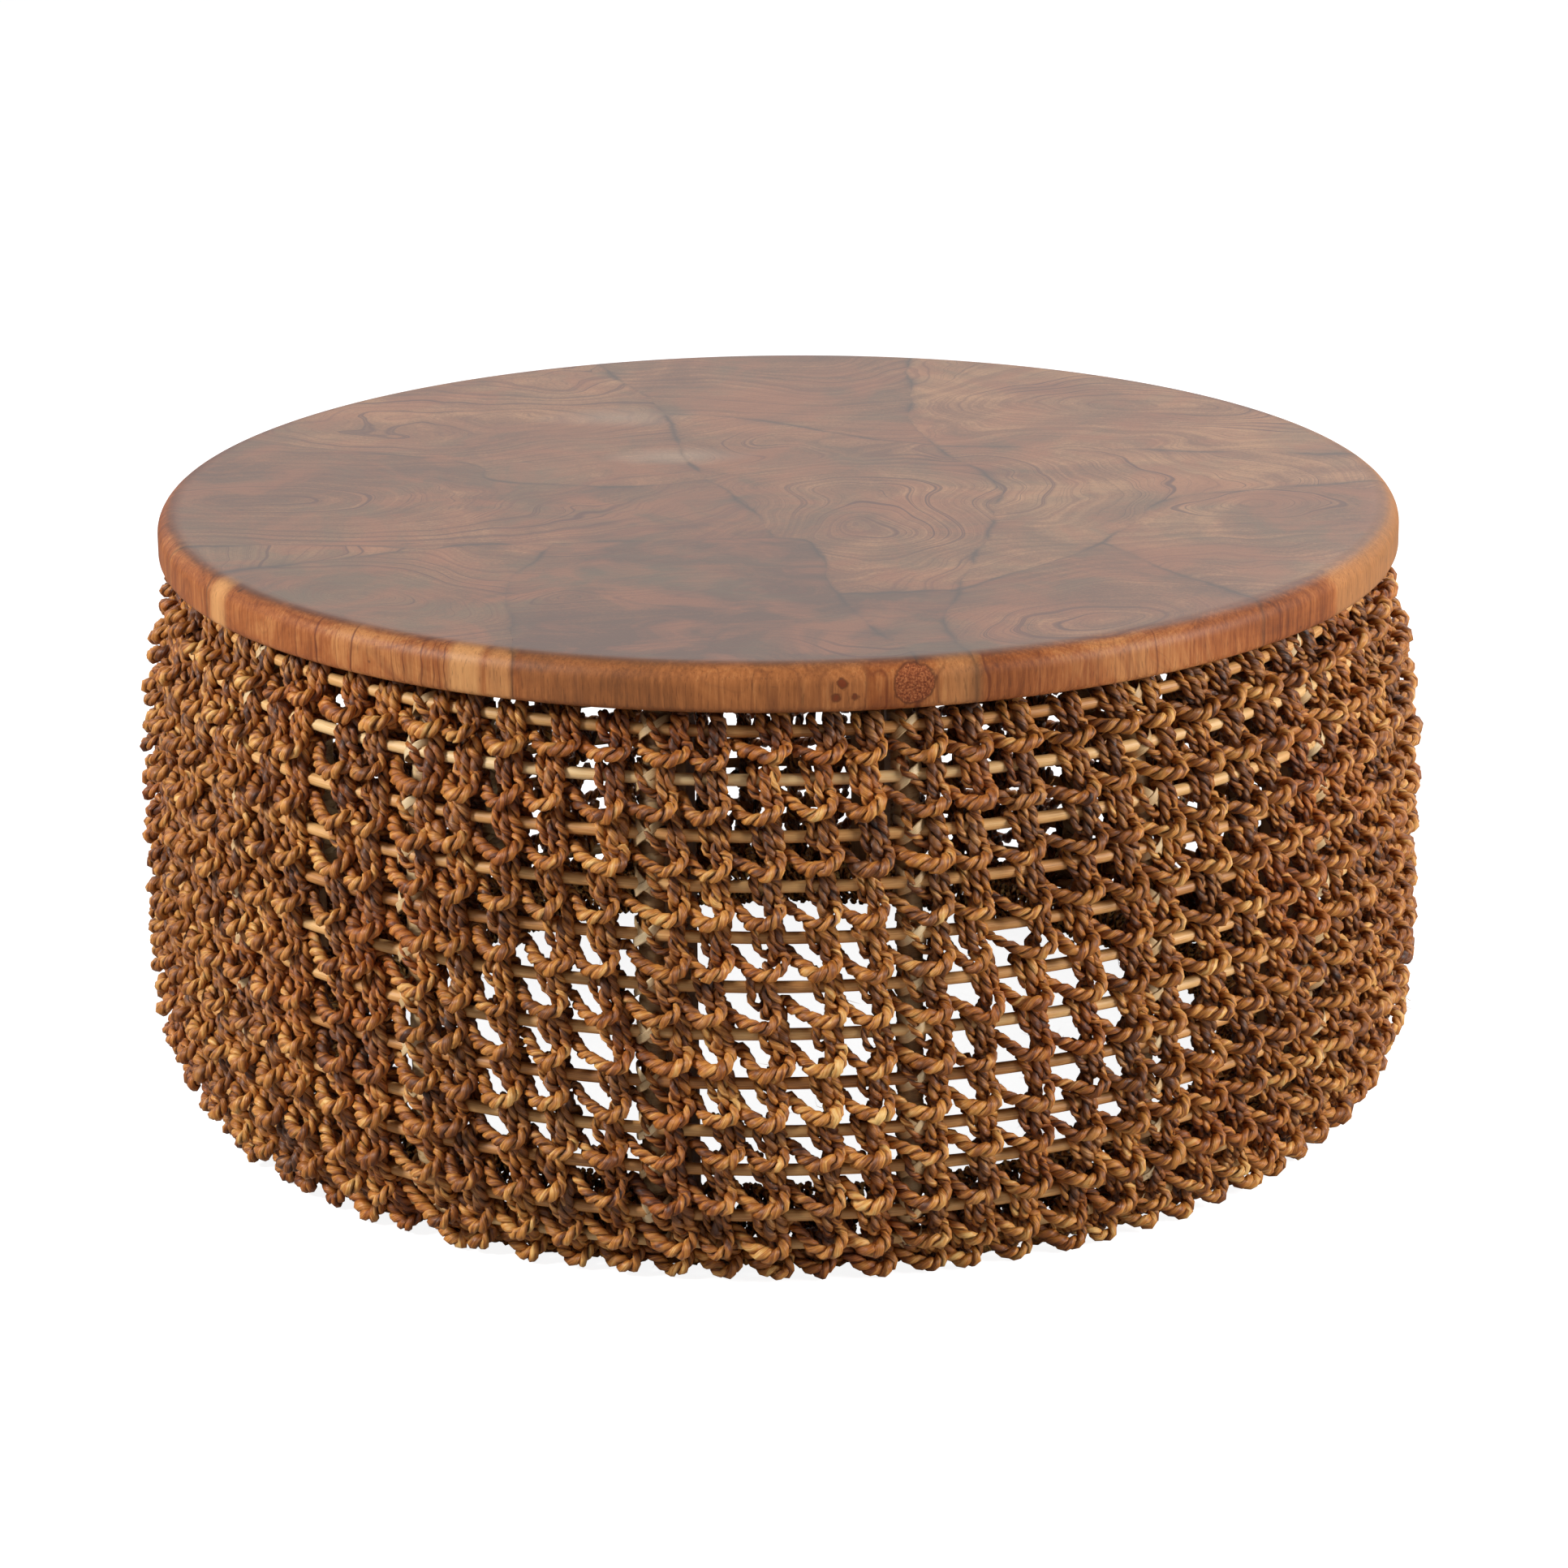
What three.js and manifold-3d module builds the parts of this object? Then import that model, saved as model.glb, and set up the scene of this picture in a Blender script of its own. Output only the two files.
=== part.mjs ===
// A round low table: a pieced wooden top on a drum of cane ribs and hoops, netted with rope courses.
// Millimetres, +Z up, origin on the floor at the drum's centre, -Y towards the front.
import * as THREE from 'three';
import { mergeVertices } from 'three/addons/utils/BufferGeometryUtils.js';
import Module from 'manifold-3d';

const wasm = await Module();
wasm.setup();

// Driving dimensions
const topDiameter = 914;
const topThickness = 33;
const topUpperRound = 14;
const topLowerRound = 5;
const overallHeight = 444;

// The drum's outline, taken at the middle of the hoop rods and counted from the rim of the top
const bellyBulge = 0.5;
const bellyHeight = 187;
const neckSetback = 35.5;
const footSetback = 57;
const neckCurvePower = 3.3;
const footCurvePower = 6.4;
const bottomHoopHeight = 14.2;

// Cane and rope
const hoopRodDiameter = 8.5;
const ribDiameter = 18;
const ropeDiameter = 9.5;
const netDepth = 11.5;
const ribCount = 16;
const frontRibAzimuth = -11.4;

// Inner frame of straight wood
const postWidth = 28;
const postSetback = 5;
const postCount = 4;
const railWidth = 28;
const railDepth = 26;

// Clearances
const seatGap = 0.3;
const glueGap = 0.3;
const floorGap = 0.5;
const cutOverrun = 5;

// Facet counts
const ringSegments = 48;
const hoopSides = 6;
const ribSides = 6;
const topSegments = 96;
const upperRoundSteps = 4;
const lowerRoundSteps = 2;

// Heights of the hoops above the bottom hoop, from the top down, as shares of the frame's height there
const hoopHeightShares = [
  0.952, 0.874, 0.783, 0.698, 0.609, 0.521, 0.4355, 0.347, 0.26, 0.1885, 0.1, 0.035, 0,
];

// Points of the glue joints in the top, as shares of its radius: +x right, +y to the back.
// The points named exit lie beyond the rim, where a joint runs out of the disc.
const jointPointShares = {
  exitRight: [1.47, 0.15], exitBack: [0.25, 1.5], exitBackLeft: [-0.5, 1.45],
  exitLeft: [-1.4, 0.58], exitLeftFront: [-1.46, -0.3], exitFrontLeft: [-1.32, -0.74],
  exitFront: [-0.36, -1.46], exitFrontKnot: [0.28, -1.47], exitFrontRight: [0.5, -1.42],
  exitRightFront: [1.04, -1.08], exitRightLow: [1.5, 0.08],
  backA: [0.24, 0.91], backB: [0.23, 0.45], backFork: [0.26, 0.29],
  archA: [-0.03, 0.49], archB: [0.14, 0.35], archEnd: [-0.19, 0.54],
  rightA: [0.58, 0.25], rightB: [0.93, 0.21],
  centreA: [-0.16, 0.25], centreFork: [-0.11, 0.08], centreB: [-0.03, -0.16],
  centreEnd: [-0.01, -0.29],
  leftA: [-0.82, 0.34], leftB: [-0.65, 0.27], leftC: [-0.48, 0.19], leftD: [-0.49, 0.08],
  leftE: [-0.25, 0.03],
  middleA: [-0.7, -0.31], middleFork: [-0.55, -0.33], middleEnd: [-0.35, -0.31],
  cornerA: [-0.84, -0.46],
  frontA: [-0.42, -0.57], frontB: [-0.39, -0.79],
  frontTip: [0.06, -0.3], frontC: [0.07, -0.53], frontSide: [0.09, -0.62], frontD: [0.12, -0.76],
  frontE: [0.2, -0.96],
  innerA: [0.37, 0.02], innerB: [0.33, -0.28], innerFork: [0.27, -0.61],
  outerFork: [0.51, -0.34], outerA: [0.62, -0.06], outerB: [0.98, 0.03],
  knotA: [0.24, -0.76], knotB: [0.26, -0.92],
  edgeA: [0.62, -0.55],
};

// Each slab of the top by the points around it, counterclockwise
const slabOutlines = {
  back_left: ['exitBackLeft', 'exitLeft', 'leftA', 'leftB', 'leftC', 'leftD', 'leftE',
    'centreFork', 'centreA', 'archEnd'],
  back: ['exitBack', 'exitBackLeft', 'archEnd', 'archA', 'archB', 'backFork', 'backB', 'backA'],
  back_right: ['exitRight', 'exitBack', 'backA', 'backB', 'backFork', 'rightA', 'rightB'],
  centre: ['archEnd', 'centreA', 'centreFork', 'centreB', 'centreEnd', 'frontTip', 'frontC',
    'frontSide', 'innerFork', 'innerB', 'innerA', 'backFork', 'archB', 'archA'],
  right: ['backFork', 'innerA', 'innerB', 'innerFork', 'outerFork', 'outerA', 'outerB',
    'exitRightLow', 'exitRight', 'rightB', 'rightA'],
  left: ['leftA', 'exitLeft', 'exitLeftFront', 'middleA', 'middleFork', 'middleEnd', 'centreEnd',
    'centreB', 'centreFork', 'leftE', 'leftD', 'leftC', 'leftB'],
  left_strip: ['middleFork', 'middleA', 'exitLeftFront', 'exitFrontLeft', 'cornerA'],
  front_left: ['middleFork', 'cornerA', 'exitFrontLeft', 'exitFront', 'frontB', 'frontA',
    'middleEnd'],
  front: ['middleEnd', 'frontA', 'frontB', 'exitFront', 'exitFrontKnot', 'frontE', 'frontD',
    'frontSide', 'frontC', 'frontTip', 'centreEnd'],
  front_knot: ['innerFork', 'frontSide', 'frontD', 'frontE', 'exitFrontKnot', 'exitFrontRight',
    'knotB', 'knotA'],
  front_right: ['outerFork', 'innerFork', 'knotA', 'knotB', 'exitFrontRight', 'exitRightFront',
    'edgeA'],
  right_front: ['outerA', 'outerFork', 'edgeA', 'exitRightFront', 'exitRightLow', 'outerB'],
};

const slabColours = {
  back_left: 0x8a5f40, back: 0x7d563c, back_right: 0x926240, centre: 0x96643f,
  right: 0x8e613f, left: 0x855c40, left_strip: 0xa5723f, front_left: 0x99643a,
  front: 0xa06c3e, front_knot: 0x8d5530, front_right: 0xa8703c, right_front: 0xa87038,
};

// Derived sizes
const topRadius = topDiameter / 2;
const bellyRadius = topRadius + bellyBulge;
const neckRadius = topRadius - neckSetback;
const footRadius = topRadius - footSetback;
const frameHeight = overallHeight - topThickness;
const hoopRodRadius = hoopRodDiameter / 2;
const ribRadius = ribDiameter / 2;
const frontRibAngle = THREE.MathUtils.degToRad(frontRibAzimuth);
const hoopHeights = hoopHeightShares.map(
  (share) => bottomHoopHeight + share * (frameHeight - bottomHoopHeight),
);

// Materials
const caneMaterial = new THREE.MeshStandardMaterial({ color: 0xc9a877, roughness: 0.55, metalness: 0 });
const peelMaterial = new THREE.MeshStandardMaterial({ color: 0xb9986a, roughness: 0.6, metalness: 0 });
const ropeMaterial = new THREE.MeshStandardMaterial({ color: 0x8a5a2c, roughness: 0.85, metalness: 0 });
const frameMaterial = new THREE.MeshStandardMaterial({ color: 0x6b4a33, roughness: 0.6, metalness: 0 });

// Radius of the drum at a height, and how fast it grows with height
function drumRadius(height) {
  const above = height > bellyHeight;
  const reach = above ? frameHeight - bellyHeight : bellyHeight;
  const power = above ? neckCurvePower : footCurvePower;
  const drop = bellyRadius - (above ? neckRadius : footRadius);
  const away = Math.abs(height - bellyHeight) / reach;
  return bellyRadius - drop * away ** power;
}

function drumSlope(height) {
  const above = height > bellyHeight;
  const reach = above ? frameHeight - bellyHeight : bellyHeight;
  const power = above ? neckCurvePower : footCurvePower;
  const drop = bellyRadius - (above ? neckRadius : footRadius);
  const away = Math.abs(height - bellyHeight) / reach;
  const steepness = (drop * power * away ** (power - 1)) / reach;
  return above ? -steepness : steepness;
}

// A place on the drum's outline with its upward tangent and outward normal, as (radius, height)
function drumFrame(height) {
  const slope = drumSlope(height);
  const along = new THREE.Vector2(slope, 1).normalize();
  const out = new THREE.Vector2(along.y, -along.x);
  return { place: new THREE.Vector2(drumRadius(height), height), along, out };
}

const hoopFrames = hoopHeights.map(drumFrame);

// Turns (radius, height) at an azimuth, counted from the front towards the right, into a point
function atAzimuth(azimuth, radius, height) {
  return [radius * Math.sin(azimuth), -radius * Math.cos(azimuth), height];
}

// A mesh from its points and the triangles between them
function closedMesh(positions, triangles) {
  const geometry = new THREE.BufferGeometry();
  geometry.setAttribute('position', new THREE.Float32BufferAttribute(positions.flat(), 3));
  geometry.setIndex(triangles.flat());
  geometry.computeVertexNormals();
  return geometry;
}

function quad(a, b, c, d) {
  return [[a, b, c], [a, c, d]];
}

// A hoop: a thin rod bent into a level ring
function hoopGeometry(frame) {
  const section = [];
  for (let side = 0; side <= hoopSides; side += 1) {
    const turn = (side % hoopSides) * ((2 * Math.PI) / hoopSides);
    section.push(new THREE.Vector2(
      frame.place.x + hoopRodRadius * Math.cos(turn),
      frame.place.y + hoopRodRadius * Math.sin(turn),
    ));
  }
  const ring = new THREE.LatheGeometry(section, ringSegments, frontRibAngle);
  ring.rotateX(Math.PI / 2);
  return ring;
}

// Where a rib's middle runs and which way is out there, from the bottom hoop up to the top
function ribStations() {
  const inset = hoopRodRadius + seatGap + ribRadius;
  const stations = hoopFrames.map((frame) => ({
    centre: frame.place.clone().addScaledVector(frame.out, -inset),
    out: frame.out,
  }));
  const head = drumFrame(frameHeight);
  const headInset = inset / head.out.x;
  stations.unshift({
    centre: new THREE.Vector2(head.place.x - headInset, frameHeight - seatGap),
    out: new THREE.Vector2(1, 0),
  });
  return stations.reverse();
}

// How near to the drum's middle the ribs come, which is what the posts stand clear of
function ribInnerRadius() {
  return Math.min(...ribStations().map(({ centre, out }) => centre.x - ribRadius * out.x));
}

// A rib: a thick cane on the inside of the hoops, ending flat under the top
function ribGeometry(azimuth) {
  const stations = ribStations();
  const sideways = [Math.cos(azimuth), Math.sin(azimuth)];
  const positions = [];
  for (const station of stations) {
    for (let side = 0; side < ribSides; side += 1) {
      const turn = (side * 2 * Math.PI) / ribSides;
      const outward = ribRadius * Math.cos(turn);
      const across = ribRadius * Math.sin(turn);
      const [x, y, z] = atAzimuth(
        azimuth,
        station.centre.x + station.out.x * outward,
        station.centre.y + station.out.y * outward,
      );
      positions.push([x + sideways[0] * across, y + sideways[1] * across, z]);
    }
  }
  const triangles = [];
  for (let ring = 0; ring + 1 < stations.length; ring += 1) {
    for (let side = 0; side < ribSides; side += 1) {
      const next = (side + 1) % ribSides;
      const low = ring * ribSides;
      const high = low + ribSides;
      triangles.push(...quad(low + side, low + next, high + next, high + side));
    }
  }
  const lastRing = (stations.length - 1) * ribSides;
  for (let side = 1; side + 1 < ribSides; side += 1) {
    triangles.push([0, side + 1, side]);
    triangles.push([lastRing, lastRing + side, lastRing + side + 1]);
  }
  return closedMesh(positions, triangles);
}

// How far a course reaches along the drum from its hoop, up to the course above and down to the next
function courseReach(index) {
  const frame = hoopFrames[index];
  const outer = hoopRodRadius + seatGap + netDepth;
  const outerHeight = frame.place.y + frame.out.y * outer;
  const halfWay = (other) => frame.place.distanceTo(other.place) / 2 - seatGap / 2;
  const up = index > 0
    ? halfWay(hoopFrames[index - 1])
    : (frameHeight - seatGap - outerHeight) / frame.along.y;
  const down = index + 1 < hoopFrames.length
    ? halfWay(hoopFrames[index + 1])
    : (outerHeight - floorGap) / frame.along.y;
  return { up, down };
}

// A rope course: a cross strand all round, with loops that climb over the hoop to the course above
function courseGeometry(index) {
  const frame = hoopFrames[index];
  const { up, down } = courseReach(index);
  const inner = hoopRodRadius + seatGap;
  const outer = inner + netDepth;
  const positions = [];
  for (let step = 0; step < ringSegments; step += 1) {
    const azimuth = frontRibAngle + (step * 2 * Math.PI) / ringSegments;
    const isLoop = step % 2 === 0;
    const edge = isLoop ? up : ropeDiameter - down;
    for (const [outward, along] of [[inner, edge], [outer, edge], [outer, -down], [inner, -down]]) {
      positions.push(atAzimuth(
        azimuth,
        frame.place.x + frame.out.x * outward + frame.along.x * along,
        frame.place.y + frame.out.y * outward + frame.along.y * along,
      ));
    }
  }
  const cornerCount = 4;
  const triangles = [];
  for (let step = 0; step < ringSegments; step += 1) {
    const here = step * cornerCount;
    const there = ((step + 1) % ringSegments) * cornerCount;
    for (let corner = 0; corner < cornerCount; corner += 1) {
      const next = (corner + 1) % cornerCount;
      triangles.push(...quad(here + corner, here + next, there + next, there + corner));
    }
  }
  return closedMesh(positions, triangles);
}

// The whole top as one disc with a full round above and a small one below
function topProfile() {
  const profile = [new THREE.Vector2(0, frameHeight)];
  for (let step = 0; step <= lowerRoundSteps; step += 1) {
    const turn = (step / lowerRoundSteps) * (Math.PI / 2);
    profile.push(new THREE.Vector2(
      topRadius - topLowerRound + topLowerRound * Math.sin(turn),
      frameHeight + topLowerRound - topLowerRound * Math.cos(turn),
    ));
  }
  for (let step = 0; step <= upperRoundSteps; step += 1) {
    const turn = (step / upperRoundSteps) * (Math.PI / 2);
    profile.push(new THREE.Vector2(
      topRadius - topUpperRound + topUpperRound * Math.cos(turn),
      overallHeight - topUpperRound + topUpperRound * Math.sin(turn),
    ));
  }
  profile.push(new THREE.Vector2(0, overallHeight));
  return profile;
}

function toSolid(geometry) {
  const bare = geometry.clone();
  bare.deleteAttribute('normal');
  bare.deleteAttribute('uv');
  const merged = mergeVertices(bare);
  return new wasm.Manifold(new wasm.Mesh({
    numProp: 3,
    vertProperties: new Float32Array(merged.attributes.position.array),
    triVerts: new Uint32Array(merged.index.array),
  }));
}

function toGeometry(solid) {
  const mesh = solid.getMesh();
  const geometry = new THREE.BufferGeometry();
  geometry.setAttribute('position', new THREE.BufferAttribute(mesh.vertProperties, mesh.numProp));
  geometry.setIndex(new THREE.BufferAttribute(mesh.triVerts, 1));
  geometry.computeVertexNormals();
  return geometry;
}

// Moves each edge of a counterclockwise outline inwards by a distance
function insetOutline(points, distance) {
  return points.map((point, index) => {
    const before = points[(index + points.length - 1) % points.length];
    const after = points[(index + 1) % points.length];
    const incoming = point.clone().sub(before).normalize();
    const outgoing = after.clone().sub(point).normalize();
    const incomingIn = new THREE.Vector2(-incoming.y, incoming.x);
    const outgoingIn = new THREE.Vector2(-outgoing.y, outgoing.x);
    const middle = incomingIn.clone().add(outgoingIn).normalize();
    return point.clone().addScaledVector(middle, distance / middle.dot(incomingIn));
  });
}

// One slab of the top: the disc within the slab's outline, half a glue gap inside each joint
function slabGeometry(disc, outline) {
  const corners = outline.map((name) => {
    const [xShare, yShare] = jointPointShares[name];
    return new THREE.Vector2(xShare * topRadius, yShare * topRadius);
  });
  const inner = insetOutline(corners, glueGap / 2);
  const prism = new THREE.ExtrudeGeometry(new THREE.Shape(inner), {
    depth: topThickness + 2 * cutOverrun,
    bevelEnabled: false,
  });
  prism.translate(0, 0, frameHeight - cutOverrun);
  return toGeometry(disc.intersect(toSolid(prism)));
}

// A rail under the top, from rib to rib, halved where the other one crosses it
function railGeometry(notchBelow) {
  const innerRadius = drumRadius(frameHeight)
    - (hoopRodRadius + seatGap + ribDiameter) / drumFrame(frameHeight).out.x;
  const halfLength = innerRadius - seatGap;
  const halfNotch = railWidth / 2 + seatGap;
  const high = frameHeight - seatGap;
  const low = high - railDepth;
  const lapCentre = (high + low) / 2;
  const lap = notchBelow ? lapCentre + seatGap / 2 : lapCentre - seatGap / 2;
  const side = new THREE.Shape();
  side.moveTo(-halfLength, low);
  if (notchBelow) {
    side.lineTo(-halfNotch, low);
    side.lineTo(-halfNotch, lap);
    side.lineTo(halfNotch, lap);
    side.lineTo(halfNotch, low);
  }
  side.lineTo(halfLength, low);
  side.lineTo(halfLength, high);
  if (!notchBelow) {
    side.lineTo(halfNotch, high);
    side.lineTo(halfNotch, lap);
    side.lineTo(-halfNotch, lap);
    side.lineTo(-halfNotch, high);
  }
  side.lineTo(-halfLength, high);
  const rail = new THREE.ExtrudeGeometry(side, { depth: railWidth, bevelEnabled: false });
  rail.translate(0, 0, -railWidth / 2);
  rail.rotateX(Math.PI / 2);
  return rail;
}

const table = new THREE.Group();

function addPiece(parent, name, geometry, material) {
  const piece = new THREE.Mesh(geometry, material.clone());
  piece.name = name;
  parent.add(piece);
  return piece;
}

function numbered(name, index) {
  return `${name}_${String(index + 1).padStart(2, '0')}`;
}

// Top
const wholeTop = new THREE.LatheGeometry(topProfile(), topSegments, frontRibAngle);
wholeTop.rotateX(Math.PI / 2);
const disc = toSolid(wholeTop);
for (const [name, outline] of Object.entries(slabOutlines)) {
  const wood = new THREE.MeshStandardMaterial({
    color: slabColours[name], roughness: 0.45, metalness: 0,
  });
  addPiece(table, `top_slab_${name}`, slabGeometry(disc, outline), wood);
}

// Hoops and the rope courses knotted over them
hoopFrames.forEach((frame, index) => {
  addPiece(table, numbered('hoop', index), hoopGeometry(frame), caneMaterial);
  addPiece(table, numbered('rope_course', index), courseGeometry(index), ropeMaterial);
});

// Ribs
for (let index = 0; index < ribCount; index += 1) {
  const azimuth = frontRibAngle + (index * 2 * Math.PI) / ribCount;
  addPiece(table, numbered('rib', index), ribGeometry(azimuth), peelMaterial);
}

// Straight posts behind every fourth rib, and the two rails that they carry
const innerFrame = new THREE.Group();
innerFrame.rotation.z = frontRibAngle;
table.add(innerFrame);
const postHeight = frameHeight - 2 * seatGap - railDepth;
const postCentreRadius = ribInnerRadius() - postSetback - postWidth / 2;
for (let index = 0; index < postCount; index += 1) {
  const turn = (index * 2 * Math.PI) / postCount;
  const post = addPiece(
    innerFrame,
    numbered('post', index),
    new THREE.BoxGeometry(postWidth, postWidth, postHeight),
    frameMaterial,
  );
  post.position.set(...atAzimuth(turn, postCentreRadius, postHeight / 2));
  post.rotation.z = turn;
}
const lowerRail = addPiece(innerFrame, 'rail_lower', railGeometry(false), frameMaterial);
lowerRail.rotation.z = Math.PI / 2;
addPiece(innerFrame, 'rail_upper', railGeometry(true), frameMaterial);

export default table;
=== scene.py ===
import math

import bmesh
import bpy
import numpy as np
from mathutils import Matrix, Vector


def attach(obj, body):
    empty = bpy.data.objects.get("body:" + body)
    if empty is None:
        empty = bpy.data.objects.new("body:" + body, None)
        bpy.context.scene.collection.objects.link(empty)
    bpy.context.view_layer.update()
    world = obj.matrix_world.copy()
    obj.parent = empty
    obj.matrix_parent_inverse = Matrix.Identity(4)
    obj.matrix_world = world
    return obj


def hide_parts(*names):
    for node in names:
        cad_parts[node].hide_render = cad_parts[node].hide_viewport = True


# A round low table: a pieced wooden top on a drum of cane, netted with knotted twisted rope.
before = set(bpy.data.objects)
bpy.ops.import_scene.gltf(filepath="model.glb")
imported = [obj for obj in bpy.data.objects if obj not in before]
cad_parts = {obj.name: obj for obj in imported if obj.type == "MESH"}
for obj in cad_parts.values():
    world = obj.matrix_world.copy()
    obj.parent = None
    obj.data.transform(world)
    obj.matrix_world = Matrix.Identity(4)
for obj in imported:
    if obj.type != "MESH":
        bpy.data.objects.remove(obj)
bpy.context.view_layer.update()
scene = bpy.context.scene
mm = 0.001  # the pieces are made in millimetres and scaled to metres at the end
print("frame loaded with", len(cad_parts), "nodes")


# Measures and directions

def middleOf(values):
    return (values.max(0) + values.min(0)) / 2


def runningTotal(steps):
    return np.concatenate([[0], np.cumsum(steps)])


def fullTurn(count):
    # evenly spaced angles round a circle
    return np.arange(count) * (2 * math.pi / count)


def unit(vectors):
    return vectors / np.maximum(np.linalg.norm(vectors, axis=-1, keepdims=True), 1e-9)


def aheadOf(loop, axis=0):
    # the direction of a closed curve at each of its points
    return unit(np.roll(loop, -1, axis) - np.roll(loop, 1, axis))


def squareTo(vectors, ahead):
    return unit(vectors - ahead * (vectors * ahead).sum(-1, keepdims=True))


def fadeIn(values, start, reach):
    # 0 up to the start, then up to 1 over the reach
    return np.clip((values - start) / reach, 0, 1)


def bell(distance, width):
    return np.exp(-((distance / width) ** 2))


def slowWaves(angles, counts, draw):
    # gentle waves that close round the circle
    return sum(np.sin(count * angles + draw.uniform(0, 6.28)) for count in counts) / 2


def wavyField(points, seed, wavelength):
    # a smooth random field in the plane, between about -1 and 1
    draw = np.random.default_rng(seed)
    count = 14
    heading = draw.uniform(0, 2 * math.pi, count)
    waves = 2 * math.pi / (wavelength * draw.uniform(0.6, 1.7, count))
    phase = draw.uniform(0, 2 * math.pi, count)
    across = points[:, :1] * np.cos(heading) + points[:, 1:2] * np.sin(heading)
    return np.sin(across * waves + phase).sum(1) / math.sqrt(count)


def smoothLoop(points, steps):
    # a closed curve through all the points
    back, here, ahead, far = (np.roll(points, shift, 0)[:, None] for shift in (1, 0, -1, -2))
    share = (np.arange(steps) / steps)[:, None]
    curve = 0.5 * (
        2 * here + (ahead - back) * share + (2 * back - 5 * here + 4 * ahead - far) * share ** 2
        + (3 * here - back - 3 * ahead + far) * share ** 3
    )
    return curve.reshape(-1, points.shape[1])


def evenLoop(curve, count):
    # the same closed curve at even spacing, and its length; its first three columns are the place
    shut = np.concatenate([curve, curve[:1]])
    lengths = runningTotal(np.linalg.norm(np.diff(shut[:, :3], axis=0), axis=1))
    wanted = np.linspace(0, lengths[-1], count, endpoint=False)
    return np.stack([np.interp(wanted, lengths, column) for column in shut.T], -1), lengths[-1]


# Reading the frame

def meshPoints(mesh):
    flat = np.empty(len(mesh.vertices) * 3, np.float32)
    mesh.vertices.foreach_get("co", flat)
    return flat.reshape(-1, 3).astype(float)


def nodePoints(name):
    return meshPoints(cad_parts[name].data) / mm


def nodeNames(start):
    return sorted(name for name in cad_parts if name.startswith(start))


def hoopPlace(name):
    points = nodePoints(name)
    return middleOf(np.hypot(points[:, 0], points[:, 1])), middleOf(points[:, 2])


def azimuthOf(name):
    # from the front to the right
    middle = middleOf(nodePoints(name))
    return math.atan2(middle[0], -middle[1])


hoopNames = nodeNames("hoop_")  # from the top down
courseNames = nodeNames("rope_course_")
ribNames = nodeNames("rib_")
postNames = nodeNames("post_")
slabNames = nodeNames("top_slab_")
hoopRadii, hoopHeights = np.array([hoopPlace(name) for name in hoopNames]).T
rodRadius = np.ptp(np.hypot(*nodePoints(hoopNames[0])[:, :2].T)) / 2
ribAzimuths = [azimuthOf(name) for name in ribNames]

slabPoints = np.concatenate([nodePoints(name) for name in slabNames])
topLow, topHigh = slabPoints.min(0), slabPoints.max(0)
topCentre = middleOf(slabPoints)[:2]
topRadius = (topHigh - topLow)[:2].mean() / 2

# The drum's outline: a smooth curve through the hoops, followed by its length from the floor up
outlineHeights = np.linspace(0, topLow[2], 500)
outlineRadii = np.polyval(np.polyfit(hoopHeights, hoopRadii, 7), outlineHeights)
outlineLengths = runningTotal(np.hypot(np.diff(outlineHeights), np.diff(outlineRadii)))
outlineOut = unit(np.stack([np.gradient(outlineHeights), -np.gradient(outlineRadii)], 1))
hoopLengths = np.interp(hoopHeights, outlineHeights, outlineLengths)


def roundMiddle(reach, azimuth, height):
    return np.stack([reach * np.sin(azimuth), -reach * np.cos(azimuth), height], -1)


def onDrum(length, azimuth, outward):
    # a point at a length along the outline, an azimuth and a depth
    radius, height, outR, outZ = (
        np.interp(length, outlineLengths, values)
        for values in (outlineRadii, outlineHeights, *outlineOut.T)
    )
    return roundMiddle(radius + outR * outward, azimuth, height + outZ * outward)


# Making meshes

def addObject(name, data):
    made = bpy.data.objects.new(name, data)
    scene.collection.objects.link(made)
    return made


def addAttribute(mesh, label, values):
    # a number or a vector at each point
    values = np.asarray(values, np.float32)
    kind, field = ("FLOAT", "value") if values.ndim == 1 else ("FLOAT_VECTOR", "vector")
    mesh.attributes.new(label, kind, "POINT").data.foreach_set(field, values.ravel())


def settle(made, body, replaced, material):
    made.data.materials.clear()
    made.data.materials.append(material)
    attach(made, body)
    if replaced:
        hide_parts(*replaced)


def meshPiece(name, points, faces, attributes, material, replaced=(), body="root"):
    # faces is a list of arrays, each with one face a row
    mesh = bpy.data.meshes.new(name)
    mesh.vertices.add(len(points))
    mesh.vertices.foreach_set("co", (points * mm).astype(np.float32).ravel())
    corners = np.concatenate([part.ravel() for part in faces])
    sizes = np.concatenate([np.full(len(part), part.shape[1]) for part in faces])
    mesh.loops.add(len(corners))
    mesh.loops.foreach_set("vertex_index", corners.astype(np.int32))
    mesh.polygons.add(len(sizes))
    mesh.polygons.foreach_set("loop_start", runningTotal(sizes)[:-1].astype(np.int32))
    mesh.update(calc_edges=True)
    mesh.validate()
    mesh.polygons.foreach_set("use_smooth", np.ones(len(mesh.polygons), bool))
    for label, values in attributes.items():
        addAttribute(mesh, label, values)
    settle(addObject(name, mesh), body, replaced, material)


def joinParts(parts):
    # each part has points, quads and then its values at the points
    columns = list(zip(*parts))
    starts = runningTotal([len(points) for points in columns[0]])
    columns[1] = [quads + start for quads, start in zip(columns[1], starts)]
    return [np.concatenate(column) for column in columns]


def tubeFaces(rings, sides, closed):
    # quads between rings of points, ring after ring
    ring = np.arange(rings if closed else rings - 1)[:, None]
    side = np.arange(sides)
    after, beside = (ring + 1) % rings, (side + 1) % sides
    corners = [ring * sides + side, ring * sides + beside, after * sides + beside, after * sides + side]
    return np.stack(corners, -1).reshape(-1, 4)


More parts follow.
